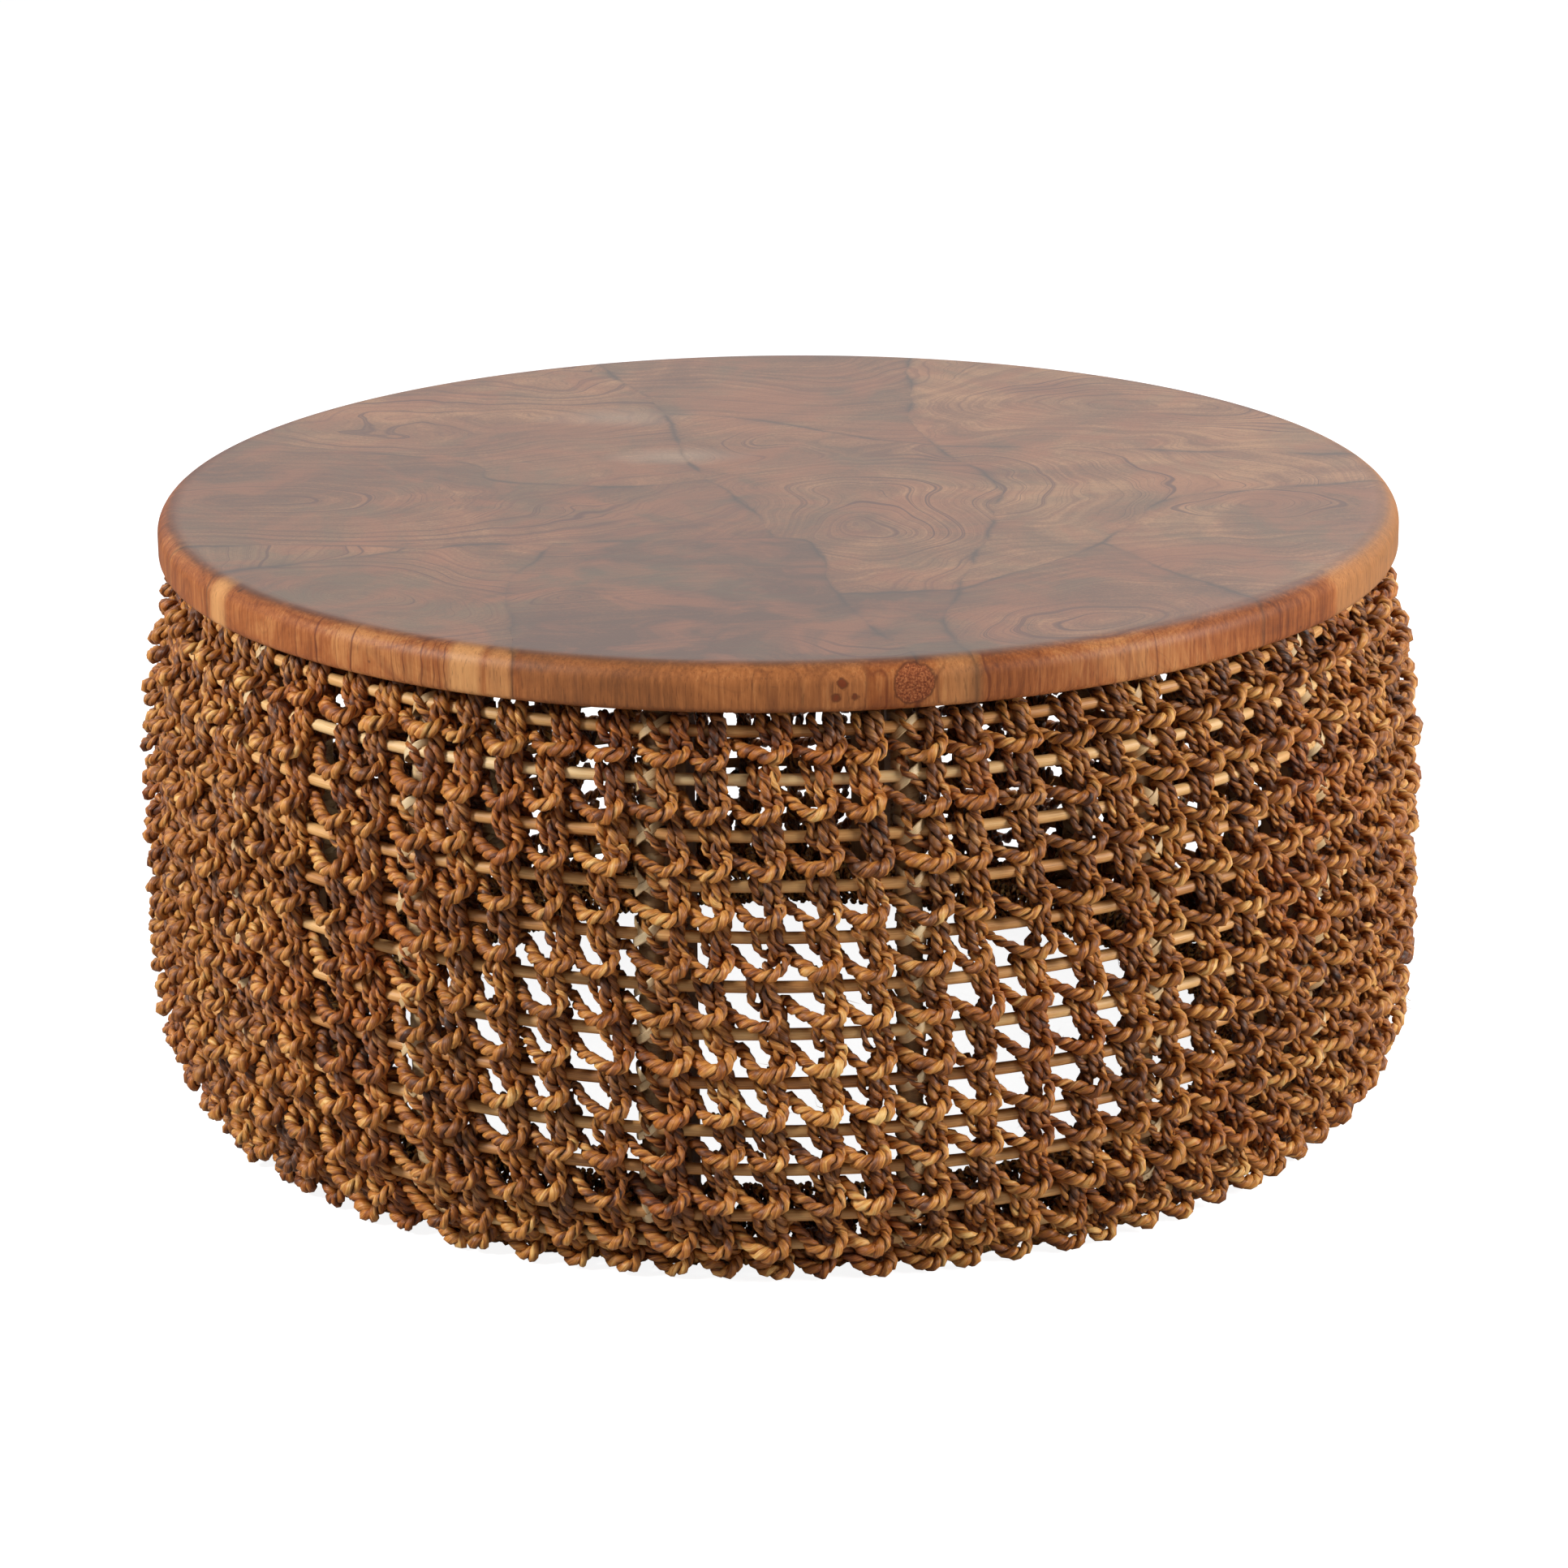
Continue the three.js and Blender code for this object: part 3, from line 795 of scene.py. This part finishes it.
def ringRod(radius, height, seed):
    # one hoop: its rings of points, with growth nodes and a slight wobble
    draw = np.random.default_rng(seed)
    angles, sides = fullTurn(hoopLook["around"]), fullTurn(hoopLook["sides"])
    reach = radius + hoopLook["wobble"] * slowWaves(angles, (2, 3, 5, 7), draw)
    rise = height + hoopLook["wobble"] * slowWaves(angles, (2, 3, 4, 6), draw)
    along = angles * radius
    spacing = hoopLook["nodeSpacing"]
    toNode = np.abs((along + draw.uniform(0, spacing)) % spacing - spacing / 2)
    thick = rodRadius + hoopLook["nodeRise"] * bell(toNode, hoopLook["nodeWidth"])
    thick = thick + draw.normal(0, hoopLook["uneven"], len(angles))
    across, up = thick[:, None] * np.cos(sides), thick[:, None] * np.sin(sides)
    points = roundMiddle(reach[:, None] + across, angles[:, None], rise[:, None] + up)
    grain = np.stack(np.broadcast_arrays(across, up, along[:, None] * 0.03 + seed * 9), -1)
    tone = draw.uniform(-0.16, 0.12) + 0.05 * np.sin(3 * angles + draw.uniform(0, 6))
    tone = tone - hoopLook["nodeDark"] * bell(toNode, hoopLook["nodeDarkWidth"])
    return points.reshape(-1, 3), {"grain": grain.reshape(-1, 3), "tone": np.repeat(tone, len(sides))}


def makeHoops():
    cane = streakyFinish("peeledCane", hoopLook)
    faces = [tubeFaces(hoopLook["around"], hoopLook["sides"], True)]
    for index, name in enumerate(hoopNames):
        points, attributes = ringRod(hoopRadii[index], hoopHeights[index], 100 + index)
        meshPiece(name.replace("hoop", "cane_hoop"), points, faces, attributes, cane, [name])


makeHoops()
print("hoops bent:", len(hoopNames))


# Ribs: thick canes wrapped in flat peel and lashed to every hoop but the lowest with crossed strips
ribLook = {
    "radius": 8.5,
    "inset": 13.6,
    "step": 1.25,
    "sides": 18,
    "wrapWidth": 7.4,
    "ridge": 0.5,
    "groove": 0.35,
    "bandTone": 0.13,
    "bandRise": 0.25,
    "stripWidth": 6.2,
    "stripThickness": 0.9,
    "stripSteps": 28,
    "stripSection": [(-1, 0.2), (-0.7, 1), (0.7, 1), (1, 0.2), (0.7, -1), (-0.7, -1)],
    "stripLift": 0.45,  # where the two strips cross, one lies over the other
    "stripStray": 0.35,
    "streaks": {"scale": 2.2, "detail": 4, "roughness": 0.7},
    "patches": {"scale": 22},
    "shares": (0.5, 0.35),
    "colours": [(0.18, 112, 78, 46), (0.34, 172, 132, 86), (0.5, 210, 176, 126), (0.7, 236, 212, 168)],
    "roughness": (0.4, 0.62),
    "relief": (0.4, 0.0004),
}
# Half of one lashing strip round a rib and its hoop: right, up, outward in mm from the rod's middle
lashRoute = [
    (0, 0, 5.5), (3.5, 2.8, 4.6), (6.6, 5.4, 1.4), (9.0, 7.4, -3.4), (10.2, 7.6, -10), (8.6, 6, -17.5),
    (4.5, 3.2, -22.4), (0, 0, -23.6),
]


def wrappedCore(azimuth, seed):
    # a cane with flat peel wound round it, band after band
    draw = np.random.default_rng(seed)
    low, high = hoopLengths[-1] + 1, outlineLengths[-1] - 3
    rings = int((high - low) / ribLook["step"])
    lengths = np.linspace(low, high, rings)[:, None]
    sides = fullTurn(ribLook["sides"])
    wind = (lengths + ribLook["wrapWidth"] * sides / (2 * math.pi)) / ribLook["wrapWidth"]
    wind = wind + 0.12 * np.sin(wind * 1.7 + seed)
    band = np.floor(wind).astype(int)
    bandTone, bandRise = (
        draw.uniform(-reach, reach, band.max() + 2)[band]
        for reach in (ribLook["bandTone"], ribLook["bandRise"])
    )
    groove = np.abs(2 * (wind - band) - 1) ** 6
    thick = ribLook["radius"] + ribLook["ridge"] * (1 - groove) + bandRise - ribLook["groove"] * groove
    across = thick * np.sin(sides)
    outward = thick * np.cos(sides) - ribLook["inset"]
    radius = np.interp(lengths, outlineLengths, outlineRadii)
    points = onDrum(lengths, azimuth + across / (radius + outward), outward)
    around = sides * ribLook["radius"]
    grain = np.stack(np.broadcast_arrays(around * 0.05, lengths, band * 3.1 + seed), -1)
    # the tone is lower in the grooves between the peel bands: painted shade
    tone = (bandTone - 0.16 * groove).ravel()
    return points.reshape(-1, 3), tubeFaces(rings, len(sides), False), grain.reshape(-1, 3), tone


def lashing(azimuth, hoop, leans, seed):
    # one flat strip that goes round the rib and over the hoop
    draw = np.random.default_rng(seed)
    half = np.array(lashRoute, float)
    route = np.concatenate([half, -half[-2:0:-1] * [1, 1, 0] + half[-2:0:-1] * [0, 0, 1]])
    route = route * [1, leans, 1] + draw.normal(0, ribLook["stripStray"], route.shape)
    curve, total = evenLoop(smoothLoop(route, 6), ribLook["stripSteps"])
    ahead = aheadOf(curve)
    wide = unit(np.cross(ahead, unit(curve * [1, 0, 1] + [0, 0, 9])))
    thick = np.cross(wide, ahead)
    halfWidth = ribLook["stripWidth"] / 2 * draw.uniform(0.85, 1.1)
    halfThick, lift = ribLook["stripThickness"] / 2, ribLook["stripLift"] * leans
    section = ribLook["stripSection"]
    flat = np.stack([
        curve + wide * halfWidth * a + thick * (halfThick * b + lift) for a, b in section
    ], 1).reshape(-1, 3)
    right, up, outward = flat.T
    points = onDrum(hoopLengths[hoop] + up, azimuth + right / (hoopRadii[hoop] + outward), outward)
    travel = np.repeat(np.arange(len(curve)) * total / len(curve), len(section))
    across = np.tile([a * halfWidth for a, b in section], len(curve))
    grain = np.stack([across, travel * 0.05, np.full(len(across), seed * 1.3)], -1)
    tone = np.full(len(across), draw.uniform(0.02, 0.2))
    return points, tubeFaces(len(curve), len(section), True), grain, tone


def makeRibs():
    peel = streakyFinish("flatPeel", ribLook)
    for index, (name, azimuth) in enumerate(zip(ribNames, ribAzimuths)):
        parts = [wrappedCore(azimuth, 300 + index)]
        for hoop in range(len(hoopNames) - 1):
            for leans, crossing in ((1, 1), (-1, 0)):
                parts.append(lashing(azimuth, hoop, leans, 1000 + index * 40 + hoop * 2 + crossing))
        points, quads, grain, tone = joinParts(parts)
        faces = [quads, endCaps(len(parts[0][0]) // ribLook["sides"], ribLook["sides"])]
        attributes = {"grain": grain, "tone": tone}
        meshPiece(name.replace("rib", "wrapped_rib"), points, faces, attributes, peel, [name])


makeRibs()
print("ribs wrapped and lashed:", len(ribNames))


# Rope: two plies twisted round each other
ropeLook = {
    "sides": 6,
    "plyRadius": 2.68,
    "plyOffset": 2.25,
    "plyDepth": 0.95,
    "plyWidth": 1.08,
    "lay": 18.5,  # length of one full twist
    "lump": 0.1,
    "lumpRun": 3,  # stations from one lump to the next
    "swell": 0.09,
    "swellRun": 12,
    "swellTone": 0.18,
    "plyTone": 0.08,
    "grainAround": 2.6,
    "grainAlong": 0.055,
    "lowest": 0.6,
}


def twistedFibre():
    rope = Finish("twistedFibre")
    place, grain = rope.place(), rope.attribute("grain", vector=True)
    tone, creaseShade = rope.attribute("tone"), rope.attribute("creaseShade")
    streaks = rope.patches(grain, 0.5, 0.3, 0.7, detail=2, roughness=0.5)
    threads = rope.patches(grain, 2.4, 0.3, 0.7, detail=2, roughness=0.5)
    stretches = rope.patches(rope.stretched(grain, (0.12, 0.12, 1)), 1.3, 0.32, 0.68, roughness=0.6)
    patches = rope.patches(place, 30, 0.34, 0.66, roughness=0.6)
    mixed = rope.blend(
        (streaks, 0.24), (threads, 0.2), (stretches, 0.4), (patches, 0.2),
        (rope.math("SUBTRACT", 0.3, tone), 0.14),
    )
    warm = rope.ramp(mixed, [
        (0.14, 48, 21, 7), (0.32, 104, 54, 18), (0.5, 166, 98, 38), (0.68, 214, 144, 67),
        (0.86, 246, 198, 120),
    ])
    grey = rope.ramp(mixed, [
        (0.12, 46, 26, 15), (0.34, 92, 58, 35), (0.56, 144, 100, 62), (0.86, 206, 162, 112),
    ])
    greyShare = rope.math("ADD", tone, rope.swing(patches, 0.4))
    colour = rope.mix(rope.spread(greyShare, 0.4, 1.0, 0, 0.6), warm, grey)
    ruddy = rope.patches(place, 9, 0.5, 0.7, 0, 0.4, detail=2)
    colour = rope.mix(ruddy, colour, rope.mix(1.0, colour, paint(236, 170, 120), blend="MULTIPLY"))
    # painted shade: each ply's inner side, towards the rope's middle, is darkened in the colour
    shaded = rope.mix(1.0, colour, paint(58, 36, 24), blend="MULTIPLY")
    return rope.surface({
        "Base Color": rope.mix(rope.spread(creaseShade, 0.02, 0.72, 1, 0), colour, shaded),
        "Roughness": rope.spread(threads, 0, 1, 0.46, 0.34),
        "Normal": rope.bump(rope.blend((streaks, 0.5), (threads, 0.5)), 0.7, 0.0007),
        "Specular IOR Level": 0.42,
    })


def carriedFrames(curves):
    # two directions square to each closed curve, carried along it without twisting, and the angle that
    # is missing where its ends meet
    ahead = aheadOf(curves, 1)
    side = np.empty_like(curves)
    side[:, 0] = unit(np.cross(ahead[:, 0], [0.3, 0.2, 0.9]))
    for station in range(1, curves.shape[1]):
        side[:, station] = squareTo(side[:, station - 1], ahead[:, station])
    other = np.cross(ahead, side)
    carried = squareTo(side[:, -1], ahead[:, 0])
    slip = np.arctan2((carried * other[:, 0]).sum(1), (carried * side[:, 0]).sum(1))
    return side, other, slip


def plyMesh(curve, side, other, slip, length, draw):
    # the two plies of one closed rope: points, quads, grain, tone and the painted shade on each ply's inner
    # side
    count, sides = len(curve), ropeLook["sides"]
    thick, grey = curve[:, 3], curve[:, 4]
    turns = round(length / ropeLook["lay"])
    share = np.arange(count) / count
    cos, sin = np.cos(fullTurn(sides)), np.sin(fullTurn(sides))
    lumpRun, swellRun = ropeLook["lumpRun"], ropeLook["swellRun"]
    plies = []
    for ply in range(2):
        phase = -2 * math.pi * turns * share - slip * share + ply * math.pi
        outward = np.cos(phase)[:, None] * side + np.sin(phase)[:, None] * other
        middle = curve[:, :3] + outward * (ropeLook["plyOffset"] * thick)[:, None]
        ahead = aheadOf(middle)
        outward = squareTo(outward, ahead)
        wide = np.cross(ahead, outward)
        coarse = draw.normal(0, 1, (count // lumpRun, sides))
        spots = np.arange(count) / lumpRun % len(coarse)
        low = np.floor(spots).astype(int) % len(coarse)
        lumps = coarse[low] + (coarse[(low + 1) % len(coarse)] - coarse[low]) * (spots % 1)[:, None]
        slow = np.repeat(draw.normal(0, 1, count // swellRun + 1), swellRun)[:count]
        slow = np.concatenate([slow[-swellRun:], slow, slow[:swellRun]])
        slow = np.convolve(slow, np.ones(swellRun) / swellRun, "same")[swellRun:-swellRun]
        uneven = 1 + ropeLook["lump"] * lumps + ropeLook["swell"] * slow[:, None]
        radius = ropeLook["plyRadius"] * thick[:, None] * uneven
        ring = middle[:, None] + radius[..., None] * (
            cos[None, :, None] * outward[:, None] * ropeLook["plyDepth"]
            + sin[None, :, None] * wide[:, None] * ropeLook["plyWidth"]
        )
        travel = share * length * ropeLook["grainAlong"] + ply * 71.3
        around = ropeLook["grainAround"]
        grain = np.stack(np.broadcast_arrays(around * cos + 0.6 * ply, around * sin, travel[:, None]), -1)
        tone = grey + ropeLook["plyTone"] * (ply - 0.5) + ropeLook["swellTone"] * slow
        # the last value is for the painted shade: 0 on each ply's inner side, 1 on its outer side
        plies.append((
            ring.reshape(-1, 3), tubeFaces(count, sides, True), grain.reshape(-1, 3),
            np.repeat(tone, sides), np.tile((1 + cos) / 2, count),
        ))
    return joinParts(plies)


# Net: one long rope for each hoop, knotted over it and through the course above
netLook = {
    "columnsPerBay": [1.8, 5.9, 10.5, 15.0, 19.3],  # degrees after each rib
    "columnDrift": 0.3,
    "columnOffset": 0.35,
    "usualGap": 35,  # between hoops, for which the stitch is drawn
    "usualSpacing": 36,
    "hookReach": 7.5,
    "knotHeight": 12,  # what lies nearer to the hoop than this isn't stretched
    "stationsPerStitch": 92,
    "looseness": 0.95,
    "stitchLift": 1.4,
    "stitchShift": 1.2,
    "lowest": 5.4,
    "closedSide": (-46, 26, 8),  # where strands lie deeper: bearing, reach and soft edge in degrees
    "closedDepth": 0.65,
    "closedThick": 0.08,
    "crossRise": [-6, -4.5, -1, 2.5, 4, 3.5],  # how far the cross strands stand out from the legs
    "crossThick": 0.12,
    "legSink": 0.35,
}
# One stitch: right, up, outward in mm from where its column crosses the hoop, thickness, greyness
stitchRoute = [
    # the cross strand, from behind the last column, down and up again
    (-27, -10.5, 1, 0.84, 0.34), (-21, -15.8, 8, 0.88, 0.2), (-13, -20.6, 12, 0.96, 0.06),
    (-5.5, -22.2, 12.6, 1.02, 0), (0, -21.6, 12.4, 1.0, 0), (5.2, -18.6, 11.6, 0.93, 0.04),
    # its hook, up and back behind the legs
    (8, -13.8, 10.2, 0.82, 0.12), (7, -9.6, 8.6, 0.78, 0.16), (3.8, -7.6, 5, 0.76, 0.24),
    (0, -6, -2, 0.76, 0.4), (-4.6, -1, -8, 0.76, 0.4), (-8.6, 5, -7.5, 0.74, 0.35),
    (-10.8, 9.2, -1, 0.74, 0.25),
    # the left leg, down over the hoop
    (-10.4, 6, 5, 0.72, 0.14), (-9.4, -1, 7.8, 0.72, 0.16), (-6.4, -8, 6.2, 0.71, 0.3),
    (-1.5, -11.5, 0.5, 0.76, 0.45), (0, -3, -8.5, 0.84, 0.55), (0, 5, -8, 0.88, 0.6),
    (-0.6, 10.2, -1, 0.9, 0.6),
    # the middle leg, down in front and in behind the cross strand
    (-0.8, 7.5, 5.6, 0.9, 0.62), (-0.8, 0, 9.2, 0.93, 0.66), (-0.6, -8, 9.4, 0.92, 0.62),
    (0, -14.5, 7, 0.9, 0.5), (1.6, -19, 0.5, 0.88, 0.45),
    # up behind the hoop to the course above
    (4, -9, -7.5, 0.88, 0.5), (4, 3, -9, 0.9, 0.5), (2.6, 12, -5, 0.92, 0.5), (1.4, 19, 0.5, 0.9, 0.5),
    # the right leg, down over the hoop
    (2.4, 15, 5.5, 0.89, 0.45), (4, 8, 7.4, 0.88, 0.42), (5.4, 0, 8.8, 0.86, 0.42),
    (5.6, -6, 6.5, 0.83, 0.42), (6, -9, 1.5, 0.82, 0.4),
]
# Beside a rib the left leg crosses the rib: from which point of the stitch, and how far to the left
ribReach = (10, [2, 5, 7, 7, 6, 4, 1])


def columnAzimuths(draw):
    ribs = sorted(ribAzimuths)
    columns = [rib + math.radians(step) for rib in ribs for step in netLook["columnsPerBay"]]
    offsets = np.random.default_rng(61).normal(0, netLook["columnOffset"], len(columns))
    return np.array(columns) + np.radians(offsets + draw.normal(0, netLook["columnDrift"], len(columns)))


def courseRoute(index, draw):
    # the whole closed route of one course: place, thickness and greyness
    columns = columnAzimuths(draw)
    count = len(columns)
    radius, here = hoopRadii[index], hoopLengths[index]
    above = (hoopLengths[index - 1] if index else outlineLengths[-1] - 1) - here
    below = here - (hoopLengths[index + 1] if index + 1 < len(hoopNames) else 0)
    shape = count, len(stitchRoute)
    right, up, outward, thick, grey = np.array(stitchRoute).T
    right = np.tile(right, (count, 1))
    spacing = np.diff(columns, prepend=columns[-1] - 2 * math.pi) * radius
    shared = netLook["hookReach"]
    stretch = (spacing[:, None] - 2 * shared) / (netLook["usualSpacing"] - 2 * shared)
    right = np.where(right < -shared, -shared + (right + shared) * np.clip(stretch, 0.4, 2), right)
    first, leftwards = ribReach
    right[::len(netLook["columnsPerBay"]), first:first + len(leftwards)] -= leftwards
    stretched = np.where(up > 0, up * above, up * below) / netLook["usualGap"]
    up = np.where(np.abs(up) < netLook["knotHeight"], up, stretched)
    up = up + draw.normal(0, netLook["stitchLift"], (count, 1))
    loose = netLook["looseness"]
    right = right + draw.normal(0, loose, shape) + draw.normal(0, netLook["stitchShift"], (count, 1))
    up = up + draw.normal(0, loose, shape)
    outward = outward + draw.normal(0, loose * 0.7, shape)
    thick = thick * draw.normal(1, 0.05, shape) * draw.normal(1, 0.06, (count, 1))
    grey = grey + draw.normal(0, 0.13, shape) + draw.normal(0, 0.2, (count, 1))
    bearing, reach, soft = netLook["closedSide"]
    away = np.abs((np.degrees(columns) - bearing + 180) % 360 - 180)
    closed = fadeIn(-away, -reach, soft)[:, None]
    outward = np.where(outward < 0, outward * (1 + netLook["closedDepth"] * closed), outward)
    thick = thick * (1 + netLook["closedThick"] * closed)
    cross = len(netLook["crossRise"])
    outward[:, :cross] += netLook["crossRise"]
    thick[:, :cross] *= 1 + netLook["crossThick"]
    legs = outward[:, cross:]
    outward[:, cross:] = np.where(legs > 0, legs * (1 - netLook["legSink"]), legs)
    places = onDrum(here + up, columns[:, None] + right / (radius + outward), outward)
    places[..., 2] = np.clip(places[..., 2], netLook["lowest"], topLow[2] - netLook["lowest"])
    return np.c_[places.reshape(-1, 3), thick.ravel(), grey.ravel()]


# Fine fibres that stand off the rope
hairLook = {
    "single": 240,
    "tufts": 7,  # frayed places in each course
    "inTuft": 18,
    "tuftReach": 40,
    "length": 9,
    "radius": 0.16,
    "bend": 0.45,
    "lowest": 1.5,
}


def strayHairs(points, draw):
    # thin three-sided spikes
    single, tufts, inTuft = hairLook["single"], hairLook["tufts"], hairLook["inTuft"]
    starts = draw.integers(0, len(points), single)
    frayed = np.repeat(draw.integers(60, len(points) - 60, tufts), inTuft)
    reach = hairLook["tuftReach"]
    starts = np.concatenate([starts, frayed + draw.integers(-reach, reach, len(frayed))])
    roots = points[starts]
    lean = np.repeat(draw.normal(0, 0.9, (tufts, 3)), inTuft, 0)
    stray = np.concatenate([draw.normal(0, 0.8, (single, 3)), lean + draw.normal(0, 0.3, lean.shape)])
    heading = unit(unit(roots * [1, 1, 0]) * 0.8 + stray)
    bend = draw.normal(0, hairLook["bend"], roots.shape)
    size = hairLook["length"] * draw.uniform(0.5, 1.4, len(roots))[:, None]
    middles = roots + heading * size * 0.5
    tips = roots + unit(heading + bend) * size
    for places in (middles, tips):
        places[:, 2] = np.clip(places[:, 2], hairLook["lowest"], topLow[2] - 0.5)
    across = unit(np.cross(heading, [0.1, 0.2, 1]))
    upright = np.cross(across, heading)
    corners = [
        centre + radius * (across * math.cos(turn) + upright * math.sin(turn))
        for centre, radius in ((roots, hairLook["radius"]), (middles, hairLook["radius"] * 0.8))
        for turn in fullTurn(3)
    ]
    hairs = np.stack(corners + [tips], 1)
    base = np.arange(len(roots))[:, None, None] * hairs.shape[1]
    quads = base + [(0, 1, 4, 3), (1, 2, 5, 4), (2, 0, 3, 5)]
    triangles = base + [(0, 2, 1), (3, 4, 6), (4, 5, 6), (5, 3, 6)]
    return hairs.reshape(-1, 3), quads.reshape(-1, 4), triangles.reshape(-1, 3)


# The close winding of rope on the floor inside the net: where no rib or post is in the way, each
# second turn goes out and round the lowest hoop
rollLook = {
    "turns": 300,
    "stepsPerTurn": 24,
    "stations": 8200,
    "radius": 347,
    "height": 17.6,
    "reach": 12.8,
    "over": 4.6,  # past the hoop
    "clear": 0.055,  # radians each side of a rib or a post
    "thick": 0.94,
    "grey": 0.3,
    # pale: how far the roll's colour is painted lighter, painted light for the shade it lies in inside the
    # net
    "pale": 1.2,
}


def footRoll(rope):
    draw = np.random.default_rng(811)
    turns, steps, radius, reach, height = (
        rollLook[label] for label in ("turns", "stepsPerTurn", "radius", "reach", "height")
    )
    turn = np.arange(turns * steps) // steps
    azimuth = 2 * math.pi * (np.arange(turns * steps) / (turns * steps))
    slow = slowWaves(azimuth, (5, 9, 23, 41), draw)
    swing = azimuth * turns + 0.4 * slow
    wide = reach * (1 + 0.04 * slow)
    middle = (turn + 0.5) / turns * 2 * math.pi
    outgoing = (turn % 2 == 1) * np.clip(np.cos(swing), 0, 1)
    for name in ribNames + postNames:
        away = np.abs((middle - azimuthOf(name) + math.pi) % (2 * math.pi) - math.pi)
        outgoing = outgoing * (away > rollLook["clear"])
    toHoop = hoopRadii[-1] + rodRadius + rollLook["over"] - radius - reach
    rise = height + wide * np.sin(swing)
    rise = rise + (hoopHeights[-1] - height) * outgoing
    places = roundMiddle(radius + slow + wide * np.cos(swing) + toHoop * outgoing, azimuth, rise)
    route = np.c_[places, rollLook["thick"] + 0.03 * slow, rollLook["grey"] + 0.15 * slow]
    curve, length = evenLoop(route, rollLook["stations"])
    side, other, slip = carriedFrames(curve[None, :, :3])
    points, quads, grain, tone, creaseShade = plyMesh(curve, side[0], other[0], slip[0], length, draw)
    points[:, 2] = np.maximum(points[:, 2], ropeLook["lowest"])
    # the lowered tone paints the roll lighter and warmer: painted light for the shade inside the net
    attributes = {"grain": grain + 40, "tone": tone - rollLook["pale"], "creaseShade": creaseShade}
    meshPiece("rope_foot_roll", points, [quads], attributes, rope)
    return length


def makeNet():
    rope = twistedFibre()
    draws = [np.random.default_rng(700 + index) for index in range(len(courseNames))]
    curves, lengths = [], []
    for index, draw in enumerate(draws):
        route = courseRoute(index, draw)
        count = len(route) // len(stitchRoute) * netLook["stationsPerStitch"]
        curve, length = evenLoop(smoothLoop(route, 6), count)
        curves.append(curve)
        lengths.append(length)
    frames = carriedFrames(np.array(curves)[..., :3])
    for index, (name, draw, *course) in enumerate(zip(courseNames, draws, curves, *frames, lengths)):
        points, quads, grain, tone, creaseShade = plyMesh(*course, draw)
        hairs, hairQuads, hairTriangles = strayHairs(points, draw)
        start = len(points)
        points = np.concatenate([points, hairs])
        points[:, 2] = np.clip(points[:, 2], ropeLook["lowest"], topLow[2] - 0.3)
        attributes = {
            "grain": np.concatenate([grain + [0, index * 17.0, 0], hairs]),
            "tone": np.concatenate([tone, np.full(len(hairs), 0.1)]),
            "creaseShade": np.concatenate([creaseShade, np.ones(len(hairs))]),
        }
        faces = [np.concatenate([quads, hairQuads + start]), hairTriangles + start]
        piece = name.replace("rope_course", "rope_net")
        meshPiece(piece, points, faces, attributes, rope, [name])
    lengths.append(footRoll(rope))
    print("rope in the net, metres:", round(sum(lengths) * mm, 1))


makeNet()
print("net knotted over", len(courseNames), "hoops")


# Posts and rails: plain brown wood, the CAD nodes with a material
postLook = {
    "stretch": (1, 1, 0.06),
    "streaks": {"scale": 160, "detail": 4, "roughness": 0.65, "distortion": 0.4},
    "patches": {"scale": 9, "detail": 2},
    "shares": (0.7, 0.3),
    "colours": [(0.3, 104, 68, 42), (0.5, 140, 98, 62), (0.7, 166, 122, 82)],
    "roughness": (0.5, 0.68),
    "relief": (0.3, 0.0005),
}


def dressInnerFrame():
    wood = streakyFinish("brownWood", postLook)
    for name in postNames + nodeNames("rail_"):
        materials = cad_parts[name].data.materials
        materials.clear()
        materials.append(wood)


dressInnerFrame()
print("posts and rails dressed")


# Floor, light and backdrop
studio = {
    "floorSize": 40,
    "floorGrey": 0.45,
    "floorGlow": 0.9,
    "ambient": 0.1,
    "aim": (0, 0, 0.25),
    "lamps": {  # power, size and place
        "key": (205, 1.2, (-3.8, -1.7, 2.6)),
        "fill": (165, 1.8, (3.8, -1.5, 1.6)),
        "back": (36, 2.4, (1.9, 2.4, 3.0)),
    },
}
white = (1, 1, 1, 1)


def paleFloor():
    floor = Finish("paleFloor")
    grey = studio["floorGrey"]
    plain = floor.add("BsdfDiffuse", inputs={"Color": (grey, grey, grey, 1)})
    lit = floor.add("Emission", inputs={"Color": white, "Strength": studio["floorGlow"]})
    both = floor.add("AddShader", inputs={0: plain, 1: lit})
    seen = floor.add("LightPath", output="Is Camera Ray")
    shader = floor.add("MixShader", inputs={0: seen, 1: plain, 2: both})
    floor.add("OutputMaterial", inputs={"Surface": shader})
    return floor.owner


def studioWorld():
    # white behind the table and in its gloss, and a little light from all round
    world = Finish("studio", "worlds")
    direct, glossy = (world.add("LightPath", output=ray) for ray in ("Is Camera Ray", "Is Glossy Ray"))
    around, behind = (
        world.add("Background", inputs={"Color": white, "Strength": strength})
        for strength in (studio["ambient"], 1)
    )
    mixed = world.add("MixShader", inputs={0: world.math("MAXIMUM", direct, glossy), 1: around, 2: behind})
    world.add("OutputWorld", inputs={"Surface": mixed})
    return world.owner


def makeStudio():
    half = studio["floorSize"] / 2
    corners = np.array([(-half, -half, 0), (half, -half, 0), (half, half, 0), (-half, half, 0)])
    floor = looseObject("floor", corners, [np.arange(4)[None]])
    floor.data.materials.append(paleFloor())
    scene.world = studioWorld()
    for name, (power, size, place) in studio["lamps"].items():
        lamp = bpy.data.lights.new(name, "AREA")
        lamp.energy = power
        lamp.shape = "DISK"
        lamp.size = size
        light = addObject(name, lamp)
        light.location = place
        towards = Vector(studio["aim"]) - light.location
        light.rotation_euler = towards.to_track_quat("-Z", "Y").to_euler()
    scene.view_settings.view_transform = "Standard"


makeStudio()
print("studio set")
